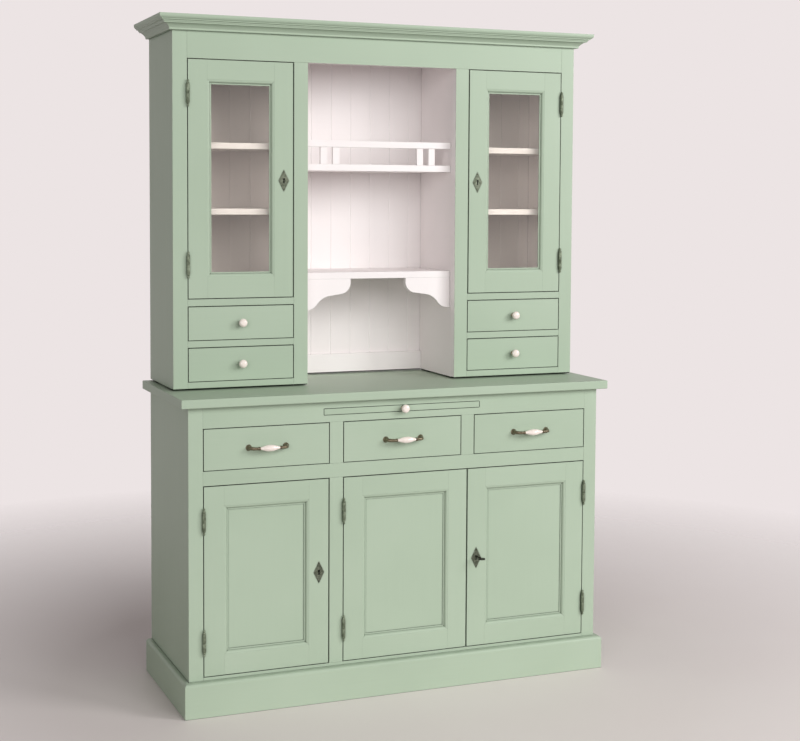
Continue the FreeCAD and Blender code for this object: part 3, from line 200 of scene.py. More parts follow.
# Metal fittings: a patina in the hollows, cloudy over the whole and rubbed back to metal on what stands out
oldMetal = {
    "cloudShare": 0.75, "rubbedShare": 0.45, "tones": (0.0, 0.45, 1.0), "recessReachMm": 4.0,
    "recessSamples": 6, "recessOpenness": (0.1, 0.5), "glossSwing": (0.15, -0.08), "bump": 0.25,
    "pitDepthMm": 0.2, "metallic": 0.9}
# Antiqued cast brass of the handle arms and knob cups: a dark brown patina over warm metal
agedBrass = dict(
    oldMetal, patina="#574F40", dull="#7F7561", metal="#C2B9A4", roughness=0.36, pitMm=0.7, cloudMm=3.5)
# Stamped steel of the keyhole plates, pickled grey-olive and mottled
pickledSteel = dict(
    oldMetal, patina="#434A3C", dull="#6F7666", metal="#9AA192", roughness=0.44, pitMm=0.9, cloudMm=6.0)
# Turned hinge steel: grey-green and nearly even, dark in its grooves
hingeSteel = dict(
    oldMetal, patina="#58614F", dull="#828C79", metal="#9CA593", roughness=0.55, pitMm=0.6, cloudMm=9.0)
# Blackened iron of the key, the bolt and the plates' pins: dark with a dull sheen
keyIron = dict(
    oldMetal, patina="#1F1E1A", dull="#34322B", metal="#5C584B", roughness=0.4, pitMm=0.6, cloudMm=5.0)
# Near-black iron of the lock's case and keyhole walls: painted shade, so that the keyhole shows black
sootedIron = dict(
    oldMetal, patina="#070706", dull="#0D0D0B", metal="#171714", roughness=0.7, pitMm=0.8, cloudMm=8.0)


def patinatedMetal(name, look):
    material = newMaterial(name)
    place = addNode(material, "TexCoord").outputs["Object"]
    rubbed = addNode(material, "Attribute", {"attribute_name": "edgeShare"}).outputs["Fac"]
    clouds = addNode(material, "TexNoise", {
        "Scale": perMetre(look["cloudMm"]), "Detail": 4.0, "Roughness": 0.65},
        {"Vector": place}).outputs["Fac"]
    pits = addNode(material, "TexNoise", {"Scale": perMetre(look["pitMm"]), "Detail": 2.0},
                   {"Vector": place}).outputs["Fac"]
    cloudy = addNode(material, "MapRange", spread(0.3, 0.75, 0.0, look["cloudShare"]), {"Value": clouds})
    bright = addNode(material, "MapRange", spread(0.0, 1.0, 0.0, look["rubbedShare"]), {"Value": rubbed})
    wear = addNode(material, "Math", {"operation": "ADD"}, {
        0: cloudy.outputs["Result"], 1: bright.outputs["Result"]})
    metals = tuple(zip(look["tones"], (look["patina"], look["dull"], look["metal"])))
    worn = addNode(material, "ValToRGB", {"stops": metals}, {"Fac": wear.outputs[0]})
    openness = addNode(material, "AmbientOcclusion", {
        "Distance": look["recessReachMm"] * mm, "samples": look["recessSamples"]})
    clean = addNode(material, "MapRange", spread(*look["recessOpenness"]), {"Value": openness.outputs["AO"]})
    grimed = addNode(material, "Mix", {"data_type": "RGBA", 6: toLinear(look["patina"])},
                     {"Factor": clean.outputs["Result"], 7: worn.outputs["Color"]})
    dull, glossy = (look["roughness"] + swing for swing in look["glossSwing"])
    rough = addNode(material, "MapRange", spread(0.3, 0.7, dull, glossy), {"Value": clouds})
    bump = addNode(material, "Bump", {"Strength": look["bump"], "Distance": look["pitDepthMm"] * mm},
                   {"Height": pits})
    shader = addNode(material, "BsdfPrincipled", {"Metallic": look["metallic"]}, {
        "Base Color": grimed.outputs[2], "Roughness": rough.outputs["Result"],
        "Normal": bump.outputs["Normal"]})
    return finishMaterial(material, shader.outputs["BSDF"])


# Glazed earthenware of the knobs and grips: cream body under a clear glossy glaze, faintly crazed
earthenware = {
    "body": "#F6EBE3", "shade": "#EEDFD5", "tones": (0.35, 0.75), "cloudMm": 6.25, "craze": "#B79F92",
    "crazeMm": 2.2, "crazeWidth": 0.03, "crazeShare": 0.12, "roughness": 0.14, "ior": 1.5, "glaze": 0.6,
    "glazeRoughness": 0.05}


def glazedEarthenware():
    material = newMaterial("glazedEarthenware")
    place = addNode(material, "TexCoord").outputs["Object"]
    clouds = addNode(material, "TexNoise", {"Scale": perMetre(earthenware["cloudMm"]), "Detail": 3.0},
                     {"Vector": place}).outputs["Fac"]
    cracks = addNode(material, "TexVoronoi", {
        "feature": "DISTANCE_TO_EDGE", "Scale": perMetre(earthenware["crazeMm"])},
        {"Vector": place}).outputs["Distance"]
    creams = tuple(zip(earthenware["tones"], (earthenware["body"], earthenware["shade"])))
    base = addNode(material, "ValToRGB", {"stops": creams}, {"Fac": clouds})
    crazing = spread(0.0, earthenware["crazeWidth"], earthenware["crazeShare"], 0.0)
    crazed = addNode(material, "MapRange", crazing, {"Value": cracks})
    line = addNode(material, "Mix", {"data_type": "RGBA", 7: toLinear(earthenware["craze"])},
                   {"Factor": crazed.outputs["Result"], 6: base.outputs["Color"]})
    shader = addNode(material, "BsdfPrincipled", {
        "IOR": earthenware["ior"], "Roughness": earthenware["roughness"], "Coat Weight": earthenware["glaze"],
        "Coat Roughness": earthenware["glazeRoughness"]}, {"Base Color": line.outputs[2]})
    return finishMaterial(material, shader.outputs["BSDF"])


# Window glass, 4 mm: clear, a touch warm, slightly uneven as old panes are
paneGlass = {
    "tint": "#FFFDF8", "letThrough": "#ECEAE7", "roughness": 0.02, "ior": 1.5, "wavesPerMetre": 9.0,
    "bump": 0.04, "waveHeightMm": 1.0}


def floatGlass():
    material = newMaterial("floatGlass")
    place = addNode(material, "TexCoord").outputs["Object"]
    waves = addNode(material, "TexNoise", {"Scale": paneGlass["wavesPerMetre"], "Detail": 1.0},
                    {"Vector": place}).outputs["Fac"]
    bump = addNode(material, "Bump", {
        "Strength": paneGlass["bump"], "Distance": paneGlass["waveHeightMm"] * mm}, {"Height": waves})
    gloss = addNode(material, "BsdfPrincipled", {
        "Base Color": toLinear(paneGlass["tint"]), "Roughness": paneGlass["roughness"],
        "IOR": paneGlass["ior"], "Transmission Weight": 1.0}, {"Normal": bump.outputs["Normal"]})
    clear = addNode(material, "BsdfTransparent", {"Color": toLinear(paneGlass["letThrough"])})
    rays = addNode(material, "LightPath").outputs["Is Shadow Ray"]  # lamps shine through the pane
    mixed = addNode(material, "MixShader", None, {
        0: rays, 1: gloss.outputs["BSDF"], 2: clear.outputs["BSDF"]})
    return finishMaterial(material, mixed.outputs["Shader"])


sageFinish = lacquer("sageLacquer", sageLacquer)
mouldedFinish = lacquer("sageLacquerInMouldings", mouldedLacquer)
whiteFinish = lacquer("whiteLacquer", whiteLacquer)
spruceFinish = lacqueredSpruce()
brassFinish = patinatedMetal("agedBrass", agedBrass)
plateFinish = patinatedMetal("pickledSteel", pickledSteel)
hingeFinish = patinatedMetal("hingeSteel", hingeSteel)
keyFinish = patinatedMetal("keyIron", keyIron)
caseFinish = patinatedMetal("sootedIron", sootedIron)
ceramicFinish = glazedEarthenware()
glassFinish = floatGlass()
print("materials made")


# Boards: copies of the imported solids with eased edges

weldDistance = 0.002 * mm
rimReach = 0.2 * mm  # an edge this near to a door's outer box is part of its rim
easing = {  # how far each kind of edge is rounded
    "frame": 0.8 * mm, "board": 0.8 * mm, "worktop": 1.0 * mm, "plinth": 1.6 * mm, "small": 0.5 * mm,
    "moulding": 0.25 * mm, "pane": 0.3 * mm, "plate": 0.45 * mm, "key": 0.35 * mm, "segments": 2}
angles = {  # in degrees: faces that count as one, edges that are eased, edges that stay crisp in the light
    "flat": 0.3, "sharp": 28.0, "sharpInGrooves": 50.0, "shading": 50.0, "mouldingShading": 25.0}
soiling = {  # painted shade: width and reach of the chamfered joint over the worktop, and how dark a gap and a joint are painted
    "seat": 3.0 * mm, "seatReach": 4.0 * mm, "gap": 0.8, "joint": 1.0}
boardTones = {"swing": 0.1, "shift": 5.0, "seed": 7}  # each board has its own tone and piece of the pattern


def islandsOf(form):  # the separate boards of a mesh, as lists of faces
    left = set(form.faces)
    groups = []
    while left:
        start = min(left, key=lambda face: face.index)
        group = [start]
        left.discard(start)
        for face in group:
            for edge in face.edges:
                for other in edge.link_faces:
                    if other in left:
                        left.discard(other)
                        group.append(other)
        groups.append(group)
    return groups


def boardsOf(form):  # the boxes and faces of the boards, sorted by box, so that every run gives the same tones
    boards = []
    for group in islandsOf(form):
        corners = [corner.co for face in group for corner in face.verts]
        low, high = ([round(pick(co[axis] for co in corners), 5) for axis in range(3)] for pick in (min, max))
        boards.append((low, high, group))
    return sorted(boards, key=lambda board: board[:2])


def writeBoardSpace(form):  # each board's own axes, longest first, and a tone of its own
    space = form.loops.layers.float_vector.new("boardSpace")
    tone = form.loops.layers.float.new("boardTone")
    for low, high, group in boardsOf(form):
        order = sorted(range(3), key=lambda axis: round(low[axis] - high[axis], 5))
        shift = noise.random_unit_vector() * boardTones["shift"]
        shade = (noise.random() - 0.5) * boardTones["swing"]
        for face in group:
            for loop in face.loops:
                co = loop.vert.co
                loop[space] = Vector(co[axis] for axis in order) + shift
                loop[tone] = shade


def closedSolids(mesh):  # the triangles of each solid, which is complete when all its edges have met
    spots = {}
    spotOf = [spots.setdefault(tuple(round(value / weldDistance) for value in corner.co), len(spots))
              for corner in mesh.vertices]
    solids, unmet = [[]], set()
    for face in mesh.polygons:
        solids[-1].append(face.index)
        around = [spotOf[corner] for corner in face.vertices]
        for start, end in zip(around, around[1:] + around[:1]):
            if (end, start) in unmet:
                unmet.discard((end, start))
            elif start != end:
                unmet.add((start, end))
        if not unmet:
            solids.append([])
    return [solid for solid in solids if solid]


def mergedCopy(name):  # a node's loose triangles as whole boards, each welded by itself
    mesh = frame["nodes"][name].data
    form = bmesh.new()
    form.from_mesh(mesh)
    faces = list(form.faces)
    for solid in closedSolids(mesh):  # corners stay in order, so that every run gives the same boards
        corners = dict.fromkeys(corner for number in solid for corner in faces[number].verts)
        bmesh.ops.remove_doubles(form, verts=list(corners), dist=weldDistance)
    bmesh.ops.dissolve_limit(form, angle_limit=math.radians(angles["flat"]), verts=form.verts,
                             edges=form.edges)
    return form


def keepInside(form, low, high):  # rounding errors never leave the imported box
    for corner in form.verts:
        corner.co = Vector(min(max(value, least), most) for value, least, most in zip(corner.co, low, high))


def easeEdges(form, edges, width, segments, soil):  # rounds edges, and notes their wear and how much shade is painted on them
    share, grime = (form.loops.layers.float[name] for name in ("edgeShare", "grimeShare"))
    made = bmesh.ops.bevel(form, geom=edges, offset=width, offset_type="OFFSET", affect="EDGES",
                           segments=segments, profile=0.5, material=-1, clamp_overlap=True)
    for face in made["faces"]:
        for loop in face.loops:
            loop[share] = 1.0
            loop[grime] = soil


def sharpEdges(form, angle):  # sharp edges that haven't been eased yet
    share = form.loops.layers.float["edgeShare"]
    least = math.radians(angle)
    return [edge for edge in form.edges if len(edge.link_faces) == 2 and edge.calc_face_angle() > least
            and not any(face.loops[0][share] > 0.5 for face in edge.link_faces)]


def liesOn(edge, axis, place):  # the edge lies in the plane at this place of the axis
    return all(abs(corner.co[axis] - place) < rimReach for corner in edge.verts)


def easedCopy(name, width, finishes, choose=None, angle=angles["sharp"], seat=None, outline=0.0, inner=None,
              inShade=None, shading=angles["shading"]):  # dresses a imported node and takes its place
    form = mergedCopy(name)
    low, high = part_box(name)
    for layer in ("edgeShare", "grimeShare"):
        form.loops.layers.float.new(layer)
    if seat is not None:  # the joint where a piece stands over the worktop, chamfered and painted near-black as shade
        seated = [edge for edge in form.edges
                  if all(abs(corner.co.z - seat) < soiling["seatReach"] for corner in edge.verts)]
        easeEdges(form, seated, soiling["seat"], 1, soiling["joint"])
    if outline:  # a door's or drawer's rim, painted darker as shade in its gap
        rim = [edge for edge in sharpEdges(form, angle) if any(
            liesOn(edge, axis, place) for axis in (0, 2) for place in (low[axis], high[axis]))]
        easeEdges(form, rim, width, easing["segments"], outline)
    easeEdges(form, sharpEdges(form, angle), inner or width, easing["segments"], 0.0)
    form.faces.index_update()
    keepInside(form, low, high)
    writeBoardSpace(form)
    grime = form.loops.layers.float["grimeShare"]
    for face in form.faces:
        middle = face.calc_center_median()
        if choose is not None:
            face.material_index = choose(middle, face.normal)
        # faces in shade, such as a bore's walls, are painted near-black as shade
        if inShade is not None and inShade(middle, face.normal):
            for loop in face.loops:
                loop[grime] = soiling["joint"]
    piece = newPiece(name, "dressed", form, finishes, sharp=shading)
    shadeBroadly(piece.data, sharp=shading)
    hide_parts(name)


def shadeBroadly(mesh, sharp):  # weighs normals by area, so broad faces look flat up to their eased edges
    limit = math.cos(math.radians(sharp))
    around = [[] for _ in mesh.vertices]
    for face in mesh.polygons:
        for corner in face.vertices:
            around[corner].append((face.normal.copy(), face.area))
    normals = []
    for face in mesh.polygons:
        for corner in face.vertices:
            lean = sum((normal * area for normal, area in around[corner]
                        if normal.dot(face.normal) > limit), Vector())
            normals.append(lean.normalized() if lean.length > 0 else face.normal)
    mesh.normals_split_custom_set(normals)


def newPiece(node, part, form, finishes, sharp=40.0):  # a finished mesh that rides on its node's body
    for face in form.faces:
        face.smooth = True
    name = node.replace("_", "-") + "-" + part
    mesh = bpy.data.meshes.new(name)
    form.to_mesh(mesh)
    form.free()
    for finish in finishes:
        mesh.materials.append(finish)
    mesh.set_sharp_from_angle(angle=math.radians(sharp))
    piece = bpy.data.objects.new(name, mesh)
    bpy.context.scene.collection.objects.link(piece)
    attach(piece, nodeBody[node])
    return piece


noise.seed_set(boardTones["seed"])
greenBoards = {
    "worktop": "worktop", "base_rails": "frame", "base_top_rail": "frame", "plinth_boards": "plinth",
    "cornice": "small", "base_stiles": "frame"}
for nodeName, kind in greenBoards.items():
    easedCopy(nodeName, easing[kind], [sageFinish])

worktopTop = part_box("worktop")[1].z
paintLines = {  # where green paint ends and white or bare wood begins
    "outside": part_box("hutch_uprights")[1].x - 2.0 * mm, "niche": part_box("niche_shelves")[1].x + 1.5 * mm,
    "frameFront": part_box("hutch_stiles")[0].y + 1.2 * mm, "facingBack": 0.6, "drawerFront": 21.5 * mm,
    "pullOutFront": 20.5 * mm}


def outsideIsGreen(place, normal):  # the carcass sides are green outside and white within
    return 0 if abs(place.x) > paintLines["outside"] else 1


def frameInsideIsWhite(place, normal):  # edges that face the niche, and the backs, are white
    facesNiche = abs(place.x) < paintLines["niche"] and place.y > paintLines["frameFront"]
    facesBack = normal.y > paintLines["facingBack"]
    return 1 if facesNiche or facesBack else 0


def frontIsGreen(paintEnd):  # green as far back as this, and bare wood behind it
    return lambda place, normal: 0 if place.y < paintEnd else 1


for nodeName in ("hutch_uprights", "base_uprights"):
    easedCopy(nodeName, easing["board"], [sageFinish, whiteFinish], outsideIsGreen, seat=worktopTop)
for nodeName in ("hutch_stiles", "hutch_rails"):
    easedCopy(nodeName, easing["frame"], [sageFinish, whiteFinish], frameInsideIsWhite, seat=worktopTop)

whiteBoards = ("base_bottom_board", "base_back_boards", "base_shelves", "drawer_runners", "hutch_top_board",
               "hutch_back_boards", "hutch_dust_boards", "side_shelves", "niche_shelves", "shelf_gallery",
               "niche_brackets", "niche_back_rail")
for nodeName in whiteBoards:
    isGrooved = "back_boards" in nodeName
    easedCopy(nodeName, easing["board"], [whiteFinish], seat=None if isGrooved else worktopTop,
              angle=angles["sharpInGrooves" if isGrooved else "sharp"])

# Keyhole plates. A face is a wall of the bore or keyhole while its normal points less than this share
# along Y. The dome of a pin is (radius, height) in shares of its radius
keyholePlate = {
    "thickness": 1.5 * mm, "boreRadius": 8.5 * mm, "boreMargin": 0.3 * mm, "plateMargin": 0.1 * mm,
    "boreWall": 0.7, "keyholeWall": 0.5, "pinRadius": 1.5 * mm, "pinInset": 6.5 * mm, "pinSteps": 20,
    "pinDome": ((0, 0), (1, 0), (0.92, 0.25), (0.7, 0.45), (0.38, 0.58), (0, 0.62))}


def plateCorners(lockName):  # low corner, middle and high corner of the plate in front of the door
    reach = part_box(lockName)[0].y + keyholePlate["thickness"] / 2
    spots = [corner.co for corner in frame["nodes"][lockName].data.vertices if corner.co.y < reach]
    low, high = (Vector(pick(spot[axis] for spot in spots) for axis in range(3)) for pick in (min, max))
    return low, (low + high) / 2, high


def insideBore(lockName):  # true in the lock's bore through the door, whose walls are painted near-black as shade
    middle = plateCorners(lockName)[1]
    radius = keyholePlate["boreRadius"] + keyholePlate["boreMargin"]

    def within(place, normal):
        away = math.hypot(place.x - middle.x, place.z - middle.z)
        return away < radius and abs(normal.y) < keyholePlate["boreWall"]
    return within


def behindPlate(lockName):  # the lock's case and the keyhole's own walls get the near-black iron, painted as shade
    low, middle = plateCorners(lockName)[:2]
    plateBack = low.y + keyholePlate["thickness"] + keyholePlate["plateMargin"]

    def choose(place, normal):
        away = math.hypot(place.x - middle.x, place.z - middle.z)
        inKeyhole = away < keyholePlate["boreRadius"] and abs(normal.y) < keyholePlate["keyholeWall"]
        return 1 if place.y > plateBack or inKeyhole else 0
    return choose


panelDoors = ("left_door", "middle_door", "right_door")
glazedDoors = ("left_glazed_door", "right_glazed_door")
for doorName in panelDoors + glazedDoors:
    lockName = doorName + "_lock"
    easedCopy(doorName + "_frame", easing["frame"], [mouldedFinish], outline=soiling["gap"],
              inner=easing["moulding"], shading=angles["mouldingShading"],
              inShade=insideBore(lockName) if lockName in nodeBody else None)
for doorName in panelDoors:
    easedCopy(doorName + "_panel", easing["small"], [mouldedFinish])
for doorName in glazedDoors:
    easedCopy(doorName + "_glass", easing["pane"], [glassFinish])

drawerNames = [name for name in nodeBody if name.startswith(("base_drawer", "hutch_drawer"))
               and not name.endswith(("_handle", "_knob"))]
for nodeName in drawerNames + ["pull_out_board"]:
    depth = paintLines["drawerFront" if nodeName in drawerNames else "pullOutFront"]
    easedCopy(nodeName, easing["frame"], [sageFinish, spruceFinish],
              frontIsGreen(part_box(nodeName)[0].y + depth), outline=soiling["gap"])
print("boards eased")


# Turned work

poleDistance = 0.005 * mm  # corners this near to each other are one
outwards = Vector((0, -1, 0))  # from the doors and drawers towards the room


def turn(form, outline, steps, origin, axis):  # spins (radius, distance) points round an axis
    side = axis.orthogonal().normalized()
    rim = [form.verts.new(origin + side * radius + axis * reach) for radius, reach in outline]
    line = [form.edges.new(pair) for pair in zip(rim, rim[1:])]
    bmesh.ops.spin(form, geom=rim + line, cent=origin, axis=axis, angle=2 * math.pi, steps=steps,
                   use_merge=True)


def closeUp(form):  # merges poles and seams, then turns every face outwards
    bmesh.ops.remove_doubles(form, verts=form.verts, dist=poleDistance)
    bmesh.ops.recalc_face_normals(form, faces=form.faces)


def smoothLine(points, count):  # a rounded line through given points, with this many steps between two
    curve = []
    padded = [points[0]] + list(points) + [points[-1]]
    for i in range(1, len(padded) - 2):
        before, start, end, after = (Vector(p) for p in padded[i - 1:i + 3])
        for step in range(count):
            t = step / count
            curve.append(0.5 * (
                2 * start + (end - before) * t + (2 * before - 5 * start + 4 * end - after) * t * t
                + (3 * start - before - 3 * end + after) * t ** 3))
    curve.append(Vector(points[-1]))
    return curve


def inMetres(points):
    return [tuple(value * mm for value in point) for point in points]


# Knobs: a glazed earthenware head in a turned brass cup, as (radius, distance from the drawer) in mm
knobShape = {
    "cup": ((0, 0), (8.4, 0), (8.4, 1.0), (7.7, 1.8), (6.0, 2.4), (5.2, 3.8), (4.8, 6.4), (5.4, 9.0),
            (7.6, 11.3), (10.2, 12.5), (11.0, 13.4), (10.6, 14.2), (0, 14.2)),
    "head": ((9.0, 13.2), (11.2, 13.6), (12.7, 15.4), (13.2, 18.2), (12.6, 21.2), (10.8, 23.9), (7.6, 25.9),
             (3.8, 26.8), (0, 27.0)),
    "rounding": 3, "steps": 48}

for nodeName in [name for name in nodeBody if name.endswith("_knob")]:
    low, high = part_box(nodeName)
    seat = Vector(((low.x + high.x) / 2, high.y, (low.z + high.z) / 2))
    head = bmesh.new()
    headLine = smoothLine(inMetres(knobShape["head"]), knobShape["rounding"])
    turn(head, [(0, headLine[0][1])] + headLine, knobShape["steps"], seat, outwards)
    closeUp(head)
    glazed = newPiece(nodeName, "head", head, [ceramicFinish])
    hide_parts(nodeName)
    cup = bmesh.new()
    turn(cup, inMetres(knobShape["cup"]), knobShape["steps"], seat, outwards)
    closeUp(cup)
    newPiece(nodeName, "cup", cup, [brassFinish])
print("knobs turned")


# Handles: a glazed olive grip between two cast arms on domed feet, in mm. Arm: (across, out, radius) from
# the handle's middle; foot: (radius, out); collar and grip: (radius, along)
handleShape = {
    "standoff": 28.0, "footAcross": 57.5, "collarFrom": 30.6, "gripFrom": -31.0, "steps": 36,
    "armResolution": 6, "armRounding": 4, "gripRounding": 3,
    "arm": ((57.5, 3.0, 7.4), (57.5, 6.0, 6.6), (57.1, 10.0, 6.0), (55.2, 17.0, 5.5), (51.2, 22.8, 5.2),
            (45.6, 26.7, 4.8), (39.5, 28.0, 4.3), (37.0, 28.0, 4.3)),
    "foot": ((0, 0), (9.3, 0), (9.45, 0.7), (9.2, 1.5), (8.2, 2.1), (7.9, 2.9), (7.0, 4.0), (5.4, 5.3),
             (3.0, 5.9), (0, 6.0)),
    "collar": ((0, 0), (5.2, 0), (5.6, 0.6), (5.6, 1.8), (4.9, 2.5), (4.3, 2.9), (4.9, 3.4), (5.3, 4.2),
               (5.1, 5.2), (4.4, 6.0), (4.2, 7.6), (0, 7.6)),
    "grip": ((3.0, 0), (3.5, 0.7), (4.9, 6.0), (7.5, 14.5), (9.4, 22.5), (9.9, 31.0), (9.4, 39.5),
             (7.5, 47.5), (4.9, 56.0), (3.5, 61.3), (3.0, 62.0))}


def castArm(form, middle, way):  # a tapering bent rod, swept as a curve and joined in as mesh
    curve = bpy.data.curves.new("arm", "CURVE")
    curve.dimensions = "3D"
    curve.bevel_depth = 1.0  # so that a point's radius is the rod's own
    curve.bevel_resolution = handleShape["armResolution"]
    curve.use_fill_caps = True
    path = smoothLine(inMetres(handleShape["arm"]), handleShape["armRounding"])
    spline = curve.splines.new("POLY")
    spline.points.add(len(path) - 1)
    for point, (across, out, radius) in zip(spline.points, path):
        point.co = (middle.x + across * way, middle.y - out, middle.z, 1.0)
        point.radius = radius
    holder = bpy.data.objects.new("arm", curve)
    swept = bpy.data.meshes.new_from_object(holder)
    form.from_mesh(swept)
    bpy.data.objects.remove(holder)
    bpy.data.meshes.remove(swept)


for nodeName in [name for name in nodeBody if name.endswith("_handle")]:
    low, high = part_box(nodeName)
    middle = Vector(((low.x + high.x) / 2, high.y, (low.z + high.z) / 2))
    inFront = middle - Vector((0, handleShape["standoff"] * mm, 0))
    steps = handleShape["steps"]
    arms = bmesh.new()
    for way in (-1, 1):
        castArm(arms, middle, way)
        foot = middle + Vector((handleShape["footAcross"] * mm * way, 0, 0))
        turn(arms, inMetres(handleShape["foot"]), steps, foot, outwards)
        collar = inFront + Vector((handleShape["collarFrom"] * mm * way, 0, 0))
        turn(arms, inMetres(handleShape["collar"]), steps, collar, Vector((way, 0, 0)))
    closeUp(arms)
    castArms = newPiece(nodeName, "arms", arms, [brassFinish])
    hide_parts(nodeName)
    grip = bmesh.new()
    gripLine = smoothLine(inMetres(handleShape["grip"]), handleShape["gripRounding"])
    closedLine = [(0, gripLine[0][1])] + gripLine + [(0, gripLine[-1][1])]
    gripEnd = inFront + Vector((handleShape["gripFrom"] * mm, 0, 0))
    turn(grip, closedLine, steps, gripEnd, Vector((1, 0, 0)))
    closeUp(grip)
    newPiece(nodeName, "grip", grip, [ceramicFinish])
print("handles cast")


# Hinges: lift-off barrels with a bead and an acorn at each end, as (radius, distance from the middle joint)
# in mm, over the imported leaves, which are kept from leafFrom backwards
hingeShape = {
    "radius": 5.5 * mm, "fixedLength": 41.5 * mm, "leafFrom": 10.8 * mm, "leafReach": 11.0 * mm,
    "margin": 1.0 * mm, "steps": 36,
    "barrel": ((0, 0), (5.1, 0), (5.45, 0.5), (5.45, 25.4), (5.1, 26.0), (4.2, 26.5), (4.2, 27.3),
               (5.1, 28.0), (5.2, 28.8), (4.7, 29.8), (3.4, 31.2), (2.5, 32.6), (2.3, 33.6), (3.1, 34.8),
               (3.6, 36.2), (3.3, 37.8), (2.3, 39.3), (1.1, 40.5), (0, 41.0))}


def isApart(face, low, high):  # the face belongs to another hinge half than the one in this box
    middle = face.calc_center_median()
    isLevel = low.z - hingeShape["margin"] < middle.z < high.z + hingeShape["margin"]
    return not isLevel or abs(middle.x - (low.x + high.x) / 2) > hingeShape["leafReach"]


for nodeName in [name for name in nodeBody if nodeSlot[name] == "dark_iron"]:
    form = mergedCopy(nodeName)
    halves = []
    for group in islandsOf(form):
        corners = [corner.co for face in group for corner in face.verts]
        halves.append([Vector(pick(c[axis] for c in corners) for axis in range(3)) for pick in (min, max)])
    leaves = bmesh.new()
    for low, high in halves:
        leaf = form.copy()
        others = [face for face in leaf.faces if isApart(face, low, high)]
        bmesh.ops.delete(leaf, geom=others, context="FACES")
        whole = leaf.verts[:] + leaf.edges[:] + leaf.faces[:]
        cut = bmesh.ops.bisect_plane(leaf, geom=whole, clear_inner=True, plane_no=(0, 1, 0),
                                     plane_co=(0, low.y + hingeShape["leafFrom"], 0))
        rim = [item for item in cut["geom_cut"] if isinstance(item, bmesh.types.BMEdge)]
        bmesh.ops.holes_fill(leaf, edges=rim)
        shape = bpy.data.meshes.new("leaf")  # carries the leaf over to the others
        leaf.to_mesh(shape)
        leaf.free()
        leaves.from_mesh(shape)
        bpy.data.meshes.remove(shape)
        isFixed = nodeName == "hinge_frame_halves"  # the frame's halves hang below the joint
        joint = low.z + hingeShape["fixedLength"] if isFixed else low.z
        pin = Vector(((low.x + high.x) / 2, low.y + hingeShape["radius"], joint))
        away = Vector((0, 0, -1 if isFixed else 1))
        turn(leaves, inMetres(hingeShape["barrel"]), hingeShape["steps"], pin, away)
    form.free()
    closeUp(leaves)
    turnedHinges = newPiece(nodeName, "turned", leaves, [hingeFinish])
    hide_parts(nodeName)
print("hinges turned")


# Locks: plates with bevelled edges, each held by two round-headed pins, and the key

for nodeName in [name for name in nodeBody if name.endswith("_lock")]:
    easedCopy(nodeName, easing["plate"], [plateFinish, caseFinish], behindPlate(nodeName),
              angle=angles["sharpInGrooves"])
    low, middle, high = plateCorners(nodeName)
    dome = [(across * keyholePlate["pinRadius"], out * keyholePlate["pinRadius"])
            for across, out in keyholePlate["pinDome"]]
    pins = bmesh.new()
    for height in (low.z + keyholePlate["pinInset"], high.z - keyholePlate["pinInset"]):
        turn(pins, dome, keyholePlate["pinSteps"], Vector((middle.x, low.y, height)), outwards)
    closeUp(pins)
    newPiece(nodeName, "pins", pins, [keyFinish])
for nodeName in ("right_door_key", "right_door_lock_bolt"):
    easedCopy(nodeName, easing["key"], [keyFinish], angle=angles["sharpInGrooves"])
print("locks dressed")


# Studio

# Angles in degrees, lens and sensor in mm, places in metres. A lamp is its name, place, size, watts, and
# whether glossy surfaces mirror it
studio = {
    "lens": 66.857, "sensor": 36.0, "shiftX": 0.02644, "shiftY": -0.10329, "yaw": -21.777, "pitch": -3.41,
    "roll": 0.259, "fromBaseFace": (-1.7499, -4.1729, 1.5192), "backdrop": "#ECE4E4", "floor": "#EDE4E1",
    "floorLight": "#F0E8E5", "floorTones": (0.3, 0.7), "floorClouds": 1.5, "floorRoughness": 0.6,
    "floorSize": 14.0, "floorFrom": 1.0, "floorTo": 3.2, "world": 0.15, "worldColour": "#FFF8F6",
    "aim": (0.0, 0.0, 1.0), "lamps": (
        ("rightLamp", (3.6, -3.7, 2.75), 2.0, 130.0, True),
        ("frontLamp", (1.8, -9.6, 4.5), 6.5, 520.0, False),
        ("leftLamp", (-6.0, -8.0, 2.8), 4.0, 225.0, True))}


def addCamera():  # the photo's view, worked out from the cabinet's own right angles
    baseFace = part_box("base_stiles")[0].y
    yaw, pitch, roll = (math.radians(studio[name]) for name in ("yaw", "pitch", "roll"))
    forward = Vector((-math.sin(yaw) * math.cos(pitch), math.cos(yaw) * math.cos(pitch), math.sin(pitch)))
    level = Vector((math.cos(yaw), math.sin(yaw), 0))
    upright = level.cross(forward)
    right = level * math.cos(roll) + upright * math.sin(roll)
    up = upright * math.cos(roll) - level * math.sin(roll)
    camera = bpy.data.cameras.new("camera")
    camera.lens = studio["lens"]
    camera.sensor_width = studio["sensor"]
    camera.shift_x = studio["shiftX"]
    camera.shift_y = studio["shiftY"]
    holder = bpy.data.objects.new("camera", camera)
    x, y, z = studio["fromBaseFace"]
    place = Matrix((right, up, -forward)).transposed().to_4x4()
    place.translation = Vector((x, y + baseFace, z))
    holder.matrix_world = place
    bpy.context.scene.collection.objects.link(holder)
    bpy.context.scene.camera = holder


def addArea(name, place, size, power, isMirrored):  # a large white softbox, aimed at the cabinet's middle
    light = bpy.data.lights.new(name, "AREA")
    light.shape = "SQUARE"
    light.size = size
    light.energy = power
    holder = bpy.data.objects.new(name, light)
    holder.location = place
    holder.visible_glossy = isMirrored
    holder.visible_transmission = False  # the panes' shadow side already lets its light through
    holder.rotation_euler = (Vector(studio["aim"]) - Vector(place)).to_track_quat("-Z", "Y").to_euler()
    bpy.context.scene.collection.objects.link(holder)


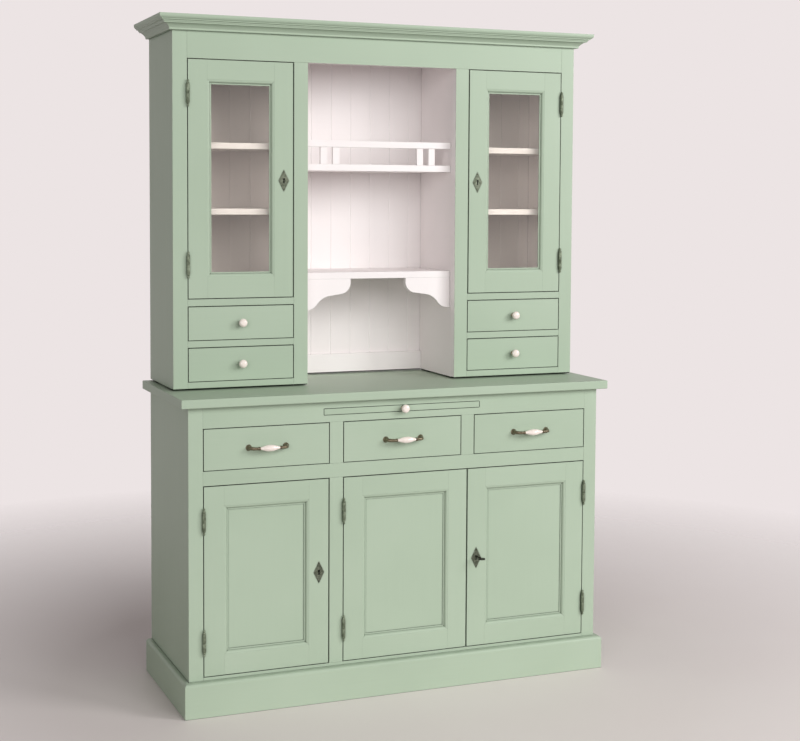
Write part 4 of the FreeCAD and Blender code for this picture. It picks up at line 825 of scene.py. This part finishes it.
# Even soft light, seen directly as a pale backdrop. Rays that pass a pane after a diffuse bounce get none of
# it, because the panes' shadow side already lets that light through
def addWorld():
    world = bpy.data.worlds.new("studio")
    bpy.context.scene.world = world
    world.use_nodes = True
    world.node_tree.nodes.clear()
    path = addNode(world, "LightPath").outputs
    direct = addNode(world, "Math", {"operation": "MAXIMUM"}, {
        0: path["Is Camera Ray"], 1: path["Is Glossy Ray"]})
    reached = addNode(world, "Math", {"operation": "MAXIMUM"}, {
        0: direct.outputs[0], 1: path["Is Transmission Ray"]})
    unlit = addNode(world, "Math", {"operation": "GREATER_THAN"}, {
        0: reached.outputs[0], 1: path["Diffuse Depth"]})
    strength = addNode(world, "MapRange", spread(0.0, 1.0, studio["world"], 0.0), {
        "Value": path["Is Transmission Ray"]})
    lit = addNode(world, "Background", {"Color": toLinear(studio["worldColour"])}, {
        "Strength": strength.outputs["Result"]})
    shown = addNode(world, "Background", {"Color": toLinear(studio["backdrop"]), "Strength": 1.0})
    mixed = addNode(world, "MixShader", None, {
        0: unlit.outputs[0], 1: lit.outputs["Background"], 2: shown.outputs["Background"]})
    addNode(world, "OutputWorld", None, {"Surface": mixed.outputs["Shader"]})


def addFloor():  # a plain pale floor that fades into the backdrop
    form = bmesh.new()
    bmesh.ops.create_grid(form, x_segments=1, y_segments=1, size=studio["floorSize"])
    mesh = bpy.data.meshes.new("floor")
    form.to_mesh(mesh)
    form.free()
    material = newMaterial("paleFloor")
    place = addNode(material, "TexCoord").outputs["Object"]
    clouds = addNode(material, "TexNoise", {"Scale": studio["floorClouds"], "Detail": 2.0},
                     {"Vector": place}).outputs["Fac"]
    pales = tuple(zip(studio["floorTones"], (studio["floor"], studio["floorLight"])))
    colour = addNode(material, "ValToRGB", {"stops": pales}, {"Fac": clouds})
    shader = addNode(material, "BsdfPrincipled", {"Roughness": studio["floorRoughness"]}, {
        "Base Color": colour.outputs["Color"]})
    away = addNode(material, "VectorMath", {"operation": "LENGTH"}, {0: place}).outputs["Value"]
    clear = addNode(material, "BsdfTransparent")
    fade = addNode(material, "MapRange", spread(studio["floorFrom"], studio["floorTo"]), {"Value": away})
    mixed = addNode(material, "MixShader", None, {
        0: fade.outputs["Result"], 1: shader.outputs["BSDF"], 2: clear.outputs["BSDF"]})
    finishMaterial(material, mixed.outputs["Shader"])
    mesh.materials.append(material)
    floor = bpy.data.objects.new("floor", mesh)
    bpy.context.scene.collection.objects.link(floor)


addCamera()
addWorld()
addFloor()
for lamp in studio["lamps"]:
    addArea(*lamp)
bpy.context.scene.view_settings.view_transform = "Standard"
print("studio set")
